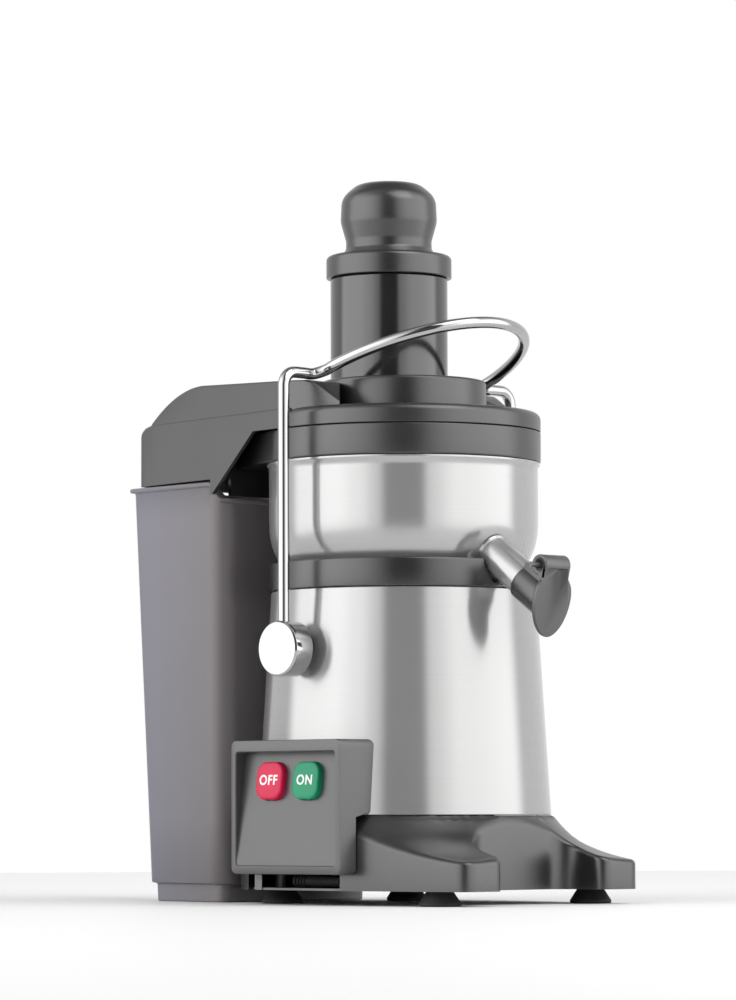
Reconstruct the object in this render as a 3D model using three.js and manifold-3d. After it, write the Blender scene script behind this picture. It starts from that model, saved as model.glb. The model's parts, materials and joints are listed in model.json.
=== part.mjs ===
// Centrifugal juicer with an over-the-lid bail, a sloping juice spout and a rear pulp container.
// Millimetres, +Z up. The spout points to -Y, the pulp container stands at +Y, and the buttons face -X.
// Every piece is built about the spin axis (x = y = 0) on the bench plane z = 0. The last lines move
// the whole object so that its origin is the middle of its own footprint.

import * as THREE from 'three';
import { mergeVertices } from 'three/addons/utils/BufferGeometryUtils.js';
import Module from 'manifold-3d';

const wasm = await Module();
wasm.setup();

// ---------------------------------------------------------------- driving dimensions

const GAP = 0.3;                  // left between pieces that touch
const ROUND = 40;                  // facets of the large round pieces
const SMALL_ROUND = 16;            // facets of the small round pieces

// Feet, base and motor housing
const HOUSING_WALL = 1.2;
const HOUSING_BOTTOM_RADIUS = 102;
const HOUSING_TOP_RADIUS = 92.4;
const HOUSING_BOTTOM = 60.5;
const HOUSING_TOP = 216;
const FOOT = { height: 10, bottomRadius: 14.5, topRadius: 9, frontX: 74, frontY: 107, rearX: 61, rearY: 59 };
const FOOT_NUT = { radius: 5.8, height: 9 };
const PLATE_THICKNESS = 1.5;
const BASE_WALL = 3;
const BASE_HALF_WIDTH = HOUSING_BOTTOM_RADIUS + 3;
const BASE_FRONT = 143;            // reach of the two front legs from the spin axis
const BASE_REAR = 103;
const LEG_HALF_GAP = 48;           // half the width of the recess between the front legs
const LEG_RECESS = 106;            // how near the recess comes to the spin axis
const LEG_TAPER = 19.5;            // how far the legs' outer sides come in towards the front
// The base's concave top as [distance beyond the housing, depth below the housing]
const SKIRT = [[66, 31], [56, 30.2], [48, 28.5], [34, 25.3], [27, 21.9], [16.5, 16.3], [6, 6.1], [1, 0]];
// Opening in the base's side under the switch box, with the cord's gland and a tab of the plate in it
const NOTCH = { front: -40, rear: 60, inner: 80 };
const GLAND = { x: 90, front: -30, ribsFront: 3, rear: 15, radius: 4.3, cordRadius: 3.6 };
const PLATE_TAB = { x: 98.5, thickness: 1.5, front: 38.5, rear: 45.5, height: 9 };

// Bowl, its seat and its rim
const SEAT_RADIUS = HOUSING_TOP_RADIUS + 1.1;
const SEAT_TOP = HOUSING_TOP + 19.6;
const DECK_THICKNESS = 6;
const SEAT_WALL = 4;
const BOWL_RADIUS = SEAT_RADIUS + 0.5;
const BOWL_WALL = 1.2;
const BOWL_TOP = SEAT_TOP + 69.9;
const RIM_RADIUS = BOWL_RADIUS + 2;
const RIM_WALL = 5;
const RIM_TOP = BOWL_TOP + 21.5;

// Spout and its drip flap. The spout slopes down at SPOUT_ANGLE from the flat face of the bowl.
const SPOUT_ANGLE = THREE.MathUtils.degToRad(33.9);
const SPOUT_FACE = { y: 8.4 - BOWL_RADIUS, z: SEAT_TOP + 5 };
const SPOUT_RADIUS = 12;
const SPOUT_WALL = 1.2;
const SPOUT_TUBE_LENGTH = 47;
const COLLAR_RADIUS = SPOUT_RADIUS + 1.75;
const COLLAR_START = 38;           // distance down the spout where the collar begins
const FLAP_TILT = THREE.MathUtils.degToRad(13);
const FLAP_HINGE = {
  y: SPOUT_FACE.y - 55.4, z: SPOUT_FACE.z - 11.6, radius: 7, hoodWall: 1.6, pinRadius: 1.5,
};
const LUG_RADIUS = 3.4;
const FLAP = {
  front: 6.8, thickness: 3, shoulder: SPOUT_RADIUS, ear: 2.6,
  widest: SPOUT_RADIUS + 5.5, widestAt: 21, bottom: 48.4,
};

// Lid with its collar and pulp chute
const LID_TOP = RIM_TOP + 13.5;
const LID_WALL = 3;
const LID_COLLAR_RADIUS = 58.4;
const LID_COLLAR_TOP = LID_TOP + 22.5;
const CHUTE = {
  frontHalf: RIM_RADIUS - 1.4, frontY: HOUSING_BOTTOM_RADIUS - 86, rearHalf: 67,
  rearY: HOUSING_BOTTOM_RADIUS + 102, corner: 8, bottom: RIM_TOP - 30,
};
// The chute's lower edge falls from front to rear, and its tip hangs in front of the container's rim.
const CHUTE_MOUTH = { front: 60, rear: HOUSING_BOTTOM_RADIUS + 8, tip: 286.5 };
const DOME = {
  inset: 1.2, rampFoot: -27, rampTop: 2, notchHalf: 56, notchY: 6,
  frontTop: LID_TOP + 18.5, rearTop: LID_TOP + 24, curveStart: 125,
  curveEnd: 190,
};
const TROUGH = {
  frontHalf: RIM_RADIUS - 8, rearHalf: 57, frontY: 37, rearY: HOUSING_BOTTOM_RADIUS + 9, wall: 3,
};
const DEFLECTOR = { half: 64, wall: 2.5, clearance: 2 };   // hangs from the trough over the container's front

// Feed tube and pusher, both centred behind the spin axis
const FEED_Y = 13.8;
const FEED_BORE = 75;
const FEED_WALL = 3.65;
const FEED_FLANGE = { width: 4, thickness: 3 };
const FEED_BOTTOM = RIM_TOP - 5;
const FEED_TOP = LID_COLLAR_TOP + 73.5;
const PUSHER_SLIDE = 1;            // radial clearance of the pusher in the feed tube
const PUSHER_BOTTOM = FEED_BOTTOM + 8;
const PUSHER_WALL = 3;
const PUSHER_FLANGE = { width: 6.5, height: 15.7, rounding: 3.5 };
const PUSHER_NECK_RADIUS = 30;
const PUSHER_TOP = FEED_TOP + 68.5;
// Knob from the neck to the top as [radius, depth below the top]
const PUSHER_KNOB = [[30, 42], [32.4, 29], [33.4, 20], [31.4, 12], [25.4, 5.2], [15.4, 1.4]];

// Bail over the lid and its pivots
const PIVOT = { y: 3.5, z: 174, pinRadius: 4.5, bushRadius: 12, sleeve: 2.6 };
const KNOB = {
  radius: 19, inner: HOUSING_BOTTOM_RADIUS, outer: HOUSING_BOTTOM_RADIUS + 16.8, chamfer: 1, pinDepth: 5.4,
};
const BAIL = {
  rodRadius: 4, halfWidth: KNOB.inner + 10, topZ: LID_COLLAR_TOP + 0.6, bend: 10,
  bowHalf: 79, reach: 94, rise: 34,
};

// Switch box and its buttons on the -X side
const BOX = {
  front: -54, rear: 53, face: HOUSING_BOTTOM_RADIUS + 13.5, bottom: 21, top: 112, corner: 4, wall: 2.5,
};
const BOX_CAVITY_BOTTOM = 26;      // height of the box's solid foot beside the base
const BOX_FRAME = { side: 5, top: 8, bottom: 6, depth: 9.6 };
const BOX_WINDOW = { half: 32, bottom: 70, top: 100 };
const BUTTON = { width: 25, height: 25.6, corner: 8, proud: 4.5, z: 84, offY: 18, onY: -17.5, lip: 1.6 };
const BUTTON_CLEARANCE = 0.4;
const BUTTON_TRAVEL = 3;

// Pulp container behind the housing
const BIN = {
  front: HOUSING_BOTTOM_RADIUS + 3, rear: HOUSING_BOTTOM_RADIUS + 105.5, frontHalf: 77, rearHalf: 70,
  frontCorner: 14, rearCorner: 8, wall: 2.5,
};
const BIN_TOP = CHUTE.bottom - 1.5;
const BIN_FRONT_TOP = BIN_TOP - 11.5;   // the rim steps down to this where the container meets the bowl
const BIN_PLINTH = { height: 13, inset: 4.5 };
const BIN_TAPER = { rear: 12, side: 0.1 };
const BIN_LIP = { width: 2.2, height: 3.2 };

// Motor
const STATOR = { radius: 50, bore: 27.6, bottom: 60.3, top: 130.3 };
const ROTOR_RADIUS = 27;
const WINDING = { inner: 30, outer: 44, height: 14 };
const BELL = { wall: 3, pocketDepth: 11, pocketWall: 4, upperHeight: 33 };
const FAN = { radius: 60, hub: 15, height: 14, blades: 8, plate: 2, above: 7 };
const SHAFT_RADIUS = 6;
const SHAFT_TOP = HOUSING_TOP + 46;
const SEAL_WIDTH = 6;
const BEARING_RADIUS = 15;
const MOUNT_PLATE = { radius: 86, thickness: 3 };
const ISOLATOR = { radius: 8, height: 12.2, ring: 62 };
const BASKET = { floorRadius: 54, topRadius: 77.8, wall: 1.2, lip: 2 };

// ---------------------------------------------------------------- shape helpers

const AXIS_X = new THREE.Vector3(1, 0, 0);
const AXIS_Y = new THREE.Vector3(0, 1, 0);
const AXIS_Z = new THREE.Vector3(0, 0, 1);

// Closed three.js geometry to a manifold solid.
function solid(geometry) {
  geometry.deleteAttribute('normal');
  geometry.deleteAttribute('uv');
  const merged = mergeVertices(geometry, 1e-4);
  const faces = [];
  for (let i = 0; i < merged.index.count; i += 3) {
    const [a, b, c] = [0, 1, 2].map((k) => merged.index.getX(i + k));
    if (a !== b && b !== c && c !== a) faces.push(a, b, c);
  }
  return new wasm.Manifold(new wasm.Mesh({
    numProp: 3,
    vertProperties: Float32Array.from(merged.attributes.position.array),
    triVerts: Uint32Array.from(faces),
  }));
}

function geometryOf(manifold) {
  const mesh = manifold.getMesh();
  const geometry = new THREE.BufferGeometry();
  geometry.setAttribute('position', new THREE.BufferAttribute(Float32Array.from(mesh.vertProperties), 3));
  geometry.setIndex(new THREE.BufferAttribute(Uint32Array.from(mesh.triVerts), 1));
  geometry.computeVertexNormals();
  return geometry;
}

// Solid of revolution about Z. A profile of [radius, z] runs up the outside and down the inside;
// one that leaves the axis alone is closed on itself.
function turned(profile, segments = ROUND) {
  const points = profile.map(([radius, z]) => new THREE.Vector2(radius, z));
  if (profile[0][0] > 0) points.push(points[0].clone());
  return solid(new THREE.LatheGeometry(points, segments).rotateX(Math.PI / 2));
}

function ring(inner, outer, bottom, top, segments = ROUND) {
  return turned([[outer, bottom], [outer, top], [inner, top], [inner, bottom]], segments);
}

function disc(radius, bottom, top, segments = ROUND) {
  return turned([[0, bottom], [radius, bottom], [radius, top], [0, top]], segments);
}

// Points of an outline given as corners [x, y, fillet radius] in counter-clockwise order,
// moved inwards by inset.
function outline(corners, inset = 0, steps = 5) {
  const count = corners.length;
  const directions = corners.map(([x, y], i) => {
    const [nextX, nextY] = corners[(i + 1) % count];
    return new THREE.Vector2(nextX - x, nextY - y).normalize();
  });
  const points = [];
  corners.forEach(([x, y, fillet], i) => {
    const before = directions[(i + count - 1) % count];
    const after = directions[i];
    const turn = before.cross(after);
    const halfAngle = Math.atan2(turn, before.dot(after)) / 2;
    const inwards = new THREE.Vector2(-before.y, before.x);
    const corner = new THREE.Vector2(x, y).addScaledVector(inwards, inset)
      .addScaledVector(before, -inset * Math.tan(halfAngle));
    const radius = Math.max(fillet - Math.sign(turn) * inset, 0);
    if (radius < 0.01) {
      points.push(corner);
      return;
    }
    const start = corner.clone().addScaledVector(before, -radius * Math.tan(Math.abs(halfAngle)));
    const centre = start.clone().addScaledVector(inwards, Math.sign(turn) * radius);
    for (let step = 0; step <= steps; step += 1) {
      points.push(start.clone().rotateAround(centre, (2 * halfAngle * step) / steps));
    }
  });
  return points;
}

function extruded(points, length) {
  return new THREE.ExtrudeGeometry(new THREE.Shape(points), { depth: length, bevelEnabled: false });
}

// Outline in X and Y, standing from bottom to top.
function prism(points, bottom, top) {
  return solid(extruded(points, top - bottom).translate(0, 0, bottom));
}

// Outline of [y, z] pairs, running along X from low to high.
function sidePrism(pairs, low, high) {
  const points = pairs.map(([y, z]) => new THREE.Vector2(y, z));
  const turnToX = new THREE.Matrix4().makeBasis(AXIS_Y, AXIS_Z, AXIS_X);
  return solid(extruded(points, high - low).applyMatrix4(turnToX).translate(low, 0, 0));
}

function block(lowX, highX, lowY, highY, lowZ, highZ) {
  const geometry = new THREE.BoxGeometry(highX - lowX, highY - lowY, highZ - lowZ);
  return solid(geometry.translate((lowX + highX) / 2, (lowY + highY) / 2, (lowZ + highZ) / 2));
}

// Cylinder between two points given as [x, y, z].
function rod(radius, from, to, segments = SMALL_ROUND) {
  const start = new THREE.Vector3(...from);
  const span = new THREE.Vector3(...to).sub(start);
  const geometry = new THREE.CylinderGeometry(radius, radius, span.length(), segments);
  geometry.applyQuaternion(new THREE.Quaternion().setFromUnitVectors(AXIS_Y, span.clone().normalize()));
  const middle = start.addScaledVector(span, 0.5);
  return solid(geometry.translate(middle.x, middle.y, middle.z));
}

// Outline corners that are the same on both sides of x = 0. The half outline runs from front to rear.
function mirroredCorners(half) {
  const other = half.map(([x, y, fillet]) => [-x, y, fillet]).reverse();
  return [...half, ...other];
}

function union(...solids) {
  return solids.reduce((whole, piece) => whole.add(piece));
}

const juicer = new THREE.Group();

function addPart(name, manifold, color, roughness, metalness = 0, parent = juicer) {
  const material = new THREE.MeshStandardMaterial({ color, roughness, metalness });
  const mesh = new THREE.Mesh(geometryOf(manifold), material);
  mesh.name = name;
  parent.add(mesh);
  return mesh;
}

const BLACK = 0x2b2b2e;
const GLOSS_BLACK = 0x1a1a1c;
const GREY = 0x77777a;
const STEEL = 0xb9bab8;
const CHROME = 0xd8d8da;
const RUBBER = 0x1c1c1c;
const COPPER = 0xb4733a;
const SMOKE = 0x8f8c98;

// ---------------------------------------------------------------- base, feet and motor housing

const BASE_CORNERS = mirroredCorners([
  [LEG_HALF_GAP, -LEG_RECESS, 16],
  [LEG_HALF_GAP, -BASE_FRONT, 9],
  [BASE_HALF_WIDTH - LEG_TAPER, -BASE_FRONT, 11],
  [BASE_HALF_WIDTH, -20, 60],
  [BASE_HALF_WIDTH - 2, 45, 40],
  [62, BASE_REAR, 30],
]);

// Body of revolution under the base's concave top, lowered by inset.
function baseSkirt(inset) {
  const surface = SKIRT.map(([beyond, depth]) =>
    [HOUSING_BOTTOM_RADIUS + beyond, HOUSING_BOTTOM - depth - inset]);
  return turned([[0, 0], [surface[0][0], 0], ...surface, [0, HOUSING_BOTTOM - inset]]);
}

function baseSolid(inset) {
  return prism(outline(BASE_CORNERS, inset), FOOT.height, HOUSING_BOTTOM).intersect(baseSkirt(inset));
}

const plateTop = FOOT.height + PLATE_THICKNESS;
const baseCavity = baseSolid(BASE_WALL)
  .add(prism(outline(BASE_CORNERS, BASE_WALL), FOOT.height - 1, plateTop));
const baseNotch = block(-BASE_HALF_WIDTH - 5, -NOTCH.inner, NOTCH.front, NOTCH.rear, FOOT.height - 1,
  BOX.bottom + GAP);
const basePart = baseSolid(0).subtract(baseCavity).subtract(baseNotch)
  .subtract(disc(HOUSING_BOTTOM_RADIUS - 12, HOUSING_BOTTOM - 10, HOUSING_BOTTOM + 1));
addPart('base_moulding', basePart, BLACK, 0.45);

const footPlaces = {
  front_left: [-FOOT.frontX, -FOOT.frontY],
  front_right: [FOOT.frontX, -FOOT.frontY],
  rear_left: [-FOOT.rearX, FOOT.rearY],
  rear_right: [FOOT.rearX, FOOT.rearY],
};
const footNuts = Object.values(footPlaces)
  .map(([x, y]) => disc(FOOT_NUT.radius, FOOT.height, plateTop + FOOT_NUT.height, SMALL_ROUND)
    .translate(x, y, 0));
const plateTab = block(-PLATE_TAB.x - PLATE_TAB.thickness, -PLATE_TAB.x, PLATE_TAB.front, PLATE_TAB.rear,
  FOOT.height, plateTop + PLATE_TAB.height);
const plateSheet = prism(outline(BASE_CORNERS, BASE_WALL + GAP), FOOT.height, plateTop);
const plateSolid = union(plateSheet, ...footNuts, plateTab);
addPart('base_plate', plateSolid, STEEL, 0.4, 1);

for (const [place, [x, y]] of Object.entries(footPlaces)) {
  const foot = turned([[0, 0], [FOOT.bottomRadius, 0], [FOOT.topRadius, FOOT.height - GAP],
    [0, FOOT.height - GAP]], SMALL_ROUND);
  addPart(`foot_${place}`, foot, RUBBER, 0.8).position.set(x, y, 0);
}

// The gland lies on the plate, with its ribbed end to the rear.
const glandZ = plateTop + GAP + GLAND.radius;
const glandSolid = turned([[0, 0], [GLAND.cordRadius, 0], [GLAND.cordRadius, GLAND.ribsFront - GLAND.front],
  [GLAND.radius, GLAND.ribsFront - GLAND.front], [GLAND.radius, GLAND.rear - GLAND.front],
  [0, GLAND.rear - GLAND.front]], SMALL_ROUND)
  .rotate([-90, 0, 0]).translate(-GLAND.x, GLAND.front, glandZ);
addPart('cable_gland', glandSolid, RUBBER, 0.7);

const housingSlope = (HOUSING_BOTTOM_RADIUS - HOUSING_TOP_RADIUS) / (HOUSING_TOP - HOUSING_BOTTOM);
const housingRadius = (z) => HOUSING_BOTTOM_RADIUS - (z - HOUSING_BOTTOM) * housingSlope;

// Cone of the housing's outer surface, moved outwards by offset.
function housingCone(offset, bottom = HOUSING_BOTTOM, top = HOUSING_TOP) {
  return turned([[0, bottom], [housingRadius(bottom) + offset, bottom], [housingRadius(top) + offset, top],
    [0, top]]);
}

const housingShell = housingCone(0, HOUSING_BOTTOM + GAP, HOUSING_TOP - GAP)
  .subtract(housingCone(-HOUSING_WALL, HOUSING_BOTTOM - 1, HOUSING_TOP + 1))
  .subtract(rod(PIVOT.pinRadius + PIVOT.sleeve + 0.4, [-KNOB.outer, PIVOT.y, PIVOT.z],
    [KNOB.outer, PIVOT.y, PIVOT.z]))
  .subtract(block(-KNOB.outer, 0, -BOX_WINDOW.half, BOX_WINDOW.half, BOX_WINDOW.bottom, BOX_WINDOW.top));
addPart('motor_housing', housingShell, STEEL, 0.3, 1);

// ---------------------------------------------------------------- bowl seat, bowl, rim ring and spout

const deckTop = HOUSING_TOP + DECK_THICKNESS;
const sealOuter = SHAFT_RADIUS + SEAL_WIDTH;
const seatSolid = turned([[sealOuter, HOUSING_TOP], [SEAT_RADIUS, HOUSING_TOP], [SEAT_RADIUS, SEAT_TOP],
  [SEAT_RADIUS - SEAT_WALL, SEAT_TOP], [SEAT_RADIUS - SEAT_WALL, deckTop], [sealOuter, deckTop]]);

// Unit vector down the spout, and the point at a distance along its centre line.
const SPOUT_DOWN = [0, -Math.cos(SPOUT_ANGLE), -Math.sin(SPOUT_ANGLE)];
function alongSpout(distance) {
  return [0, SPOUT_FACE.y + SPOUT_DOWN[1] * distance, SPOUT_FACE.z + SPOUT_DOWN[2] * distance];
}

const spoutNotch = union(
  rod(SPOUT_RADIUS + 3, alongSpout(-20), alongSpout(60), 28),
  block(-SPOUT_RADIUS - 3, SPOUT_RADIUS + 3, -SEAT_RADIUS - 5, -SEAT_RADIUS + SEAT_WALL + 4, SEAT_TOP - 4,
    SEAT_TOP + 20),
);
addPart('bowl_seat_ring', seatSolid.subtract(spoutNotch), BLACK, 0.45);

// Everything behind the sloping flat that carries the spout, kept clear by offset.
function behindSpoutFlat(offset) {
  const reach = 150;
  const geometry = new THREE.BoxGeometry(3 * reach, 2 * reach, 3 * reach);
  geometry.rotateX(SPOUT_ANGLE);
  const [, y, z] = alongSpout(-reach - offset);
  return solid(geometry.translate(0, y, z));
}

function bowlBody(inset, bottom, top) {
  const seat = SEAT_RADIUS - SEAT_WALL - GAP;
  const side = [[seat - 4, bottom], [seat, bottom + 5], [seat, SEAT_TOP + GAP],
    [BOWL_RADIUS - 1.7, SEAT_TOP + 12.5], [BOWL_RADIUS, SEAT_TOP + 30], [BOWL_RADIUS, top]];
  return turned([[0, bottom], ...side.map(([radius, z]) => [radius - inset, z]), [0, top]])
    .intersect(behindSpoutFlat(inset));
}

const bowlFloor = deckTop + GAP;
const bowlSolid = union(
  bowlBody(0, bowlFloor, BOWL_TOP - GAP),
  ring(BOWL_RADIUS - 2, BOWL_RADIUS + 1.4, BOWL_TOP - 2.2, BOWL_TOP - GAP),
).subtract(bowlBody(BOWL_WALL, bowlFloor + BOWL_WALL, BOWL_TOP + 5))
  .subtract(disc(SHAFT_RADIUS + 9, bowlFloor - 2, bowlFloor + 5))
  .subtract(rod(SPOUT_RADIUS - SPOUT_WALL, alongSpout(-10), alongSpout(10), 28));
addPart('bowl', bowlSolid, STEEL, 0.28, 1);

const spoutTube = rod(SPOUT_RADIUS, alongSpout(GAP), alongSpout(SPOUT_TUBE_LENGTH), 28)
  .subtract(rod(SPOUT_RADIUS - SPOUT_WALL, alongSpout(-5), alongSpout(SPOUT_TUBE_LENGTH + 5), 28));
addPart('spout_tube', spoutTube, STEEL, 0.25, 1);

// The flap is drawn about its hinge line, hanging straight down, then leaned back by its tilt.
function atHinge(manifold) {
  return manifold.rotate([THREE.MathUtils.radToDeg(FLAP_TILT), 0, 0])
    .translate(0, FLAP_HINGE.y, FLAP_HINGE.z);
}

// Outline of the flap in X and Z: square shoulders, then the lower half of an ellipse.
function flapOutline() {
  const shape = new THREE.Shape();
  shape.moveTo(FLAP.shoulder, 0);
  shape.lineTo(-FLAP.shoulder, 0);
  shape.lineTo(-FLAP.shoulder, -9);
  shape.quadraticCurveTo(-FLAP.widest, -13, -FLAP.widest, -FLAP.widestAt);
  shape.absellipse(0, -FLAP.widestAt, FLAP.widest, FLAP.bottom - FLAP.widestAt, Math.PI, 2 * Math.PI);
  shape.quadraticCurveTo(FLAP.widest, -13, FLAP.shoulder, -9);
  return shape;
}

const flapPlate = solid(new THREE.ExtrudeGeometry(flapOutline(), { depth: FLAP.thickness, bevelEnabled: false,
  curveSegments: 10 }).rotateX(Math.PI / 2).translate(0, -FLAP.front + FLAP.thickness, 0));
const flapEars = [-1, 1].map((side) => {
  const faces = [side * FLAP.shoulder, side * (FLAP.shoulder - FLAP.ear)];
  const low = Math.min(...faces);
  const high = Math.max(...faces);
  return rod(FLAP_HINGE.radius, [low, 0, 0], [high, 0, 0], 24)
    .add(block(low, high, -FLAP.front, 0, -10, 0));
});
const flapHood = rod(FLAP_HINGE.radius, [-FLAP.shoulder, 0, 0], [FLAP.shoulder, 0, 0], 24)
  .subtract(rod(FLAP_HINGE.radius - FLAP_HINGE.hoodWall, [-20, 0, 0], [20, 0, 0], 24))
  .subtract(block(-20, 20, 0, 20, -20, 20)).subtract(block(-20, 20, -20, 20, -20, -1));
const pinHole = rod(FLAP_HINGE.pinRadius + GAP, [-20, 0, 0], [20, 0, 0], 12);
addPart('drip_flap', atHinge(union(flapPlate, ...flapEars, flapHood).subtract(pinHole)), BLACK, 0.45);

const pinHalf = FLAP.shoulder + 0.4;
const flapPin = atHinge(rod(FLAP_HINGE.pinRadius, [-pinHalf, 0, 0], [pinHalf, 0, 0], 12));
addPart('flap_hinge_pin', flapPin, CHROME, 0.2, 1);

// The collar ends just behind the closed flap. Its flat top carries the lug that the flap hangs on.
const lugHalf = FLAP.shoulder - FLAP.ear - GAP;
const behindFlap = atHinge(block(-60, 60, -FLAP.front + FLAP.thickness + GAP, 120, -90, 60));
const lug = rod(LUG_RADIUS, [-lugHalf, FLAP_HINGE.y, FLAP_HINGE.z], [lugHalf, FLAP_HINGE.y, FLAP_HINGE.z], 20)
  .add(sidePrism([[0, 0.1 - LUG_RADIUS], [13, -13], [21, -3], [10, 0.5], [0, LUG_RADIUS - 0.1]]
    .map(([y, z]) => [FLAP_HINGE.y + y, FLAP_HINGE.z + z]), -lugHalf, lugHalf));
const collarPad = block(-lugHalf, lugHalf, -60, -COLLAR_START, 0, COLLAR_RADIUS + 0.8)
  .rotate([THREE.MathUtils.radToDeg(SPOUT_ANGLE), 0, 0]).translate(0, SPOUT_FACE.y, SPOUT_FACE.z);
const collarSolid = union(rod(COLLAR_RADIUS, alongSpout(COLLAR_START), alongSpout(90), 28), collarPad)
  .intersect(behindFlap).add(lug)
  .subtract(rod(SPOUT_RADIUS + GAP, alongSpout(-10), alongSpout(90), 28))
  .subtract(pinHole.translate(0, FLAP_HINGE.y, FLAP_HINGE.z));
addPart('spout_collar', collarSolid, BLACK, 0.45);

// The ring round the bowl's mouth runs out into a trough that throws the pulp backwards.
const troughCorners = [[-TROUGH.frontHalf, TROUGH.frontY, 0], [TROUGH.frontHalf, TROUGH.frontY, 0],
  [TROUGH.rearHalf, TROUGH.rearY, 6], [-TROUGH.rearHalf, TROUGH.rearY, 6]];
const troughInside = [[-TROUGH.frontHalf + TROUGH.wall, TROUGH.frontY - 17, 0],
  [TROUGH.frontHalf - TROUGH.wall, TROUGH.frontY - 17, 0], [TROUGH.rearHalf - 4.5, TROUGH.rearY + 19, 0],
  [-TROUGH.rearHalf + 4.5, TROUGH.rearY + 19, 0]];
const rimSolid = union(
  disc(RIM_RADIUS, BOWL_TOP, RIM_TOP - GAP),
  prism(outline(troughCorners), BOWL_TOP, RIM_TOP - GAP),
).subtract(disc(RIM_RADIUS - RIM_WALL, BOWL_TOP - 1, RIM_TOP + 1))
  .subtract(prism(outline(troughInside), BOWL_TOP + TROUGH.wall, RIM_TOP + 1))
  .add(block(-DEFLECTOR.half, DEFLECTOR.half, TROUGH.rearY - DEFLECTOR.wall, TROUGH.rearY,
    BIN_FRONT_TOP + DEFLECTOR.clearance, BOWL_TOP + TROUGH.wall));
addPart('bowl_rim_ring', rimSolid, BLACK, 0.45);

// ---------------------------------------------------------------- lid, feed tube and pusher

const CHUTE_CORNERS = [[-CHUTE.frontHalf, CHUTE.frontY, 0], [CHUTE.frontHalf, CHUTE.frontY, 0],
  [CHUTE.rearHalf, CHUTE.rearY, CHUTE.corner], [-CHUTE.rearHalf, CHUTE.rearY, CHUTE.corner]];
const DOME_CORNERS = [[-TROUGH.frontHalf, DOME.rampFoot, 0], [-DOME.notchHalf, DOME.notchY, 0],
  [DOME.notchHalf, DOME.notchY, 0], [TROUGH.frontHalf, DOME.rampFoot, 0],
  [CHUTE.frontHalf - DOME.inset, CHUTE.frontY, 0],
  [CHUTE.rearHalf - DOME.inset, CHUTE.rearY - DOME.inset, CHUTE.corner - DOME.inset],
  [-CHUTE.rearHalf + DOME.inset, CHUTE.rearY - DOME.inset, CHUTE.corner - DOME.inset],
  [-CHUTE.frontHalf + DOME.inset, CHUTE.frontY, 0]];

// Side view of the chute: its lower edge rises towards the bowl.
const chuteSide = sidePrism([[CHUTE.frontY, RIM_TOP], [CHUTE_MOUTH.front, RIM_TOP],
  [CHUTE_MOUTH.rear, CHUTE_MOUTH.tip],
  [CHUTE_MOUTH.rear + 2, CHUTE_MOUTH.tip], [CHUTE_MOUTH.rear + 2, CHUTE.bottom],
  [CHUTE.rearY + 10, CHUTE.bottom], [CHUTE.rearY + 10, LID_TOP], [CHUTE.frontY, LID_TOP]], -110, 110);

// Side view of the dome, drawn in by inset: a ramp, a nearly flat top and a parabola falling behind.
function domeSide(inset) {
  const rear = DOME.curveEnd - inset;
  const pairs = [[DOME.rampFoot + inset, LID_TOP - 6], [rear, LID_TOP - 6]];
  const steps = 8;
  for (let step = 0; step <= steps; step += 1) {
    const share = 1 - step / steps;
    pairs.push([DOME.curveStart + (rear - DOME.curveStart) * share,
      LID_TOP + (DOME.rearTop - inset - LID_TOP) * (1 - share ** 2)]);
  }
  pairs.push([DOME.rampTop, DOME.frontTop - inset], [DOME.rampFoot + inset, LID_TOP + 2.5 - inset]);
  return sidePrism(pairs, -110, 110);
}

function lidBody(inset, bottom) {
  const edge = RIM_RADIUS - inset;
  const top = LID_TOP - inset;
  const plate = turned([[0, bottom], [edge, bottom], [edge, top - 5.5], [edge - 1.6, top - 1.6],
    [edge - 5.5, top], [0, top]]);
  const collar = turned([[0, LID_TOP - 6], [LID_COLLAR_RADIUS - inset, LID_TOP - 6],
    [LID_COLLAR_RADIUS - inset - 0.6, LID_COLLAR_TOP - inset - 2], [LID_COLLAR_RADIUS - inset - 2.6,
      LID_COLLAR_TOP - inset], [0, LID_COLLAR_TOP - inset]]);
  const chute = prism(outline(CHUTE_CORNERS, inset), CHUTE_MOUTH.tip - 5 * Math.sign(inset), top);
  const dome = prism(outline(DOME_CORNERS, inset), LID_TOP - 6, LID_COLLAR_TOP + 10)
    .intersect(domeSide(inset));
  return { plate, collar, chute, dome };
}

const lidOuter = lidBody(0, RIM_TOP);
const lidInner = lidBody(LID_WALL, RIM_TOP - 5);
const feedHole = disc(FEED_BORE / 2 + FEED_WALL + GAP, RIM_TOP - 10, LID_COLLAR_TOP + 5, 40)
  .translate(0, FEED_Y, 0);
const lidSolid = union(lidOuter.plate, lidOuter.collar, lidOuter.chute.intersect(chuteSide), lidOuter.dome)
  .subtract(union(lidInner.plate, lidInner.collar, lidInner.chute, lidInner.dome))
  .subtract(feedHole);
addPart('lid_cover', lidSolid, BLACK, 0.42);

const gasketSolid = ring(RIM_RADIUS - LID_WALL - 4, RIM_RADIUS - LID_WALL - GAP, RIM_TOP, RIM_TOP + 3)
  .subtract(block(-120, 120, CHUTE.frontY, 120, RIM_TOP - 5, RIM_TOP + 10));
addPart('lid_gasket', gasketSolid, RUBBER, 0.8);

const feedOuter = FEED_BORE / 2 + FEED_WALL;
const flangeTop = DOME.frontTop - LID_WALL - GAP;
const feedSolid = turned([[feedOuter, FEED_BOTTOM], [feedOuter, flangeTop - FEED_FLANGE.thickness],
  [feedOuter + FEED_FLANGE.width, flangeTop - FEED_FLANGE.thickness], [feedOuter + FEED_FLANGE.width, flangeTop],
  [feedOuter, flangeTop], [feedOuter, FEED_TOP], [FEED_BORE / 2, FEED_TOP], [FEED_BORE / 2, FEED_BOTTOM]]);
addPart('feed_tube', feedSolid, GLOSS_BLACK, 0.15).position.y = FEED_Y;

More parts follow.
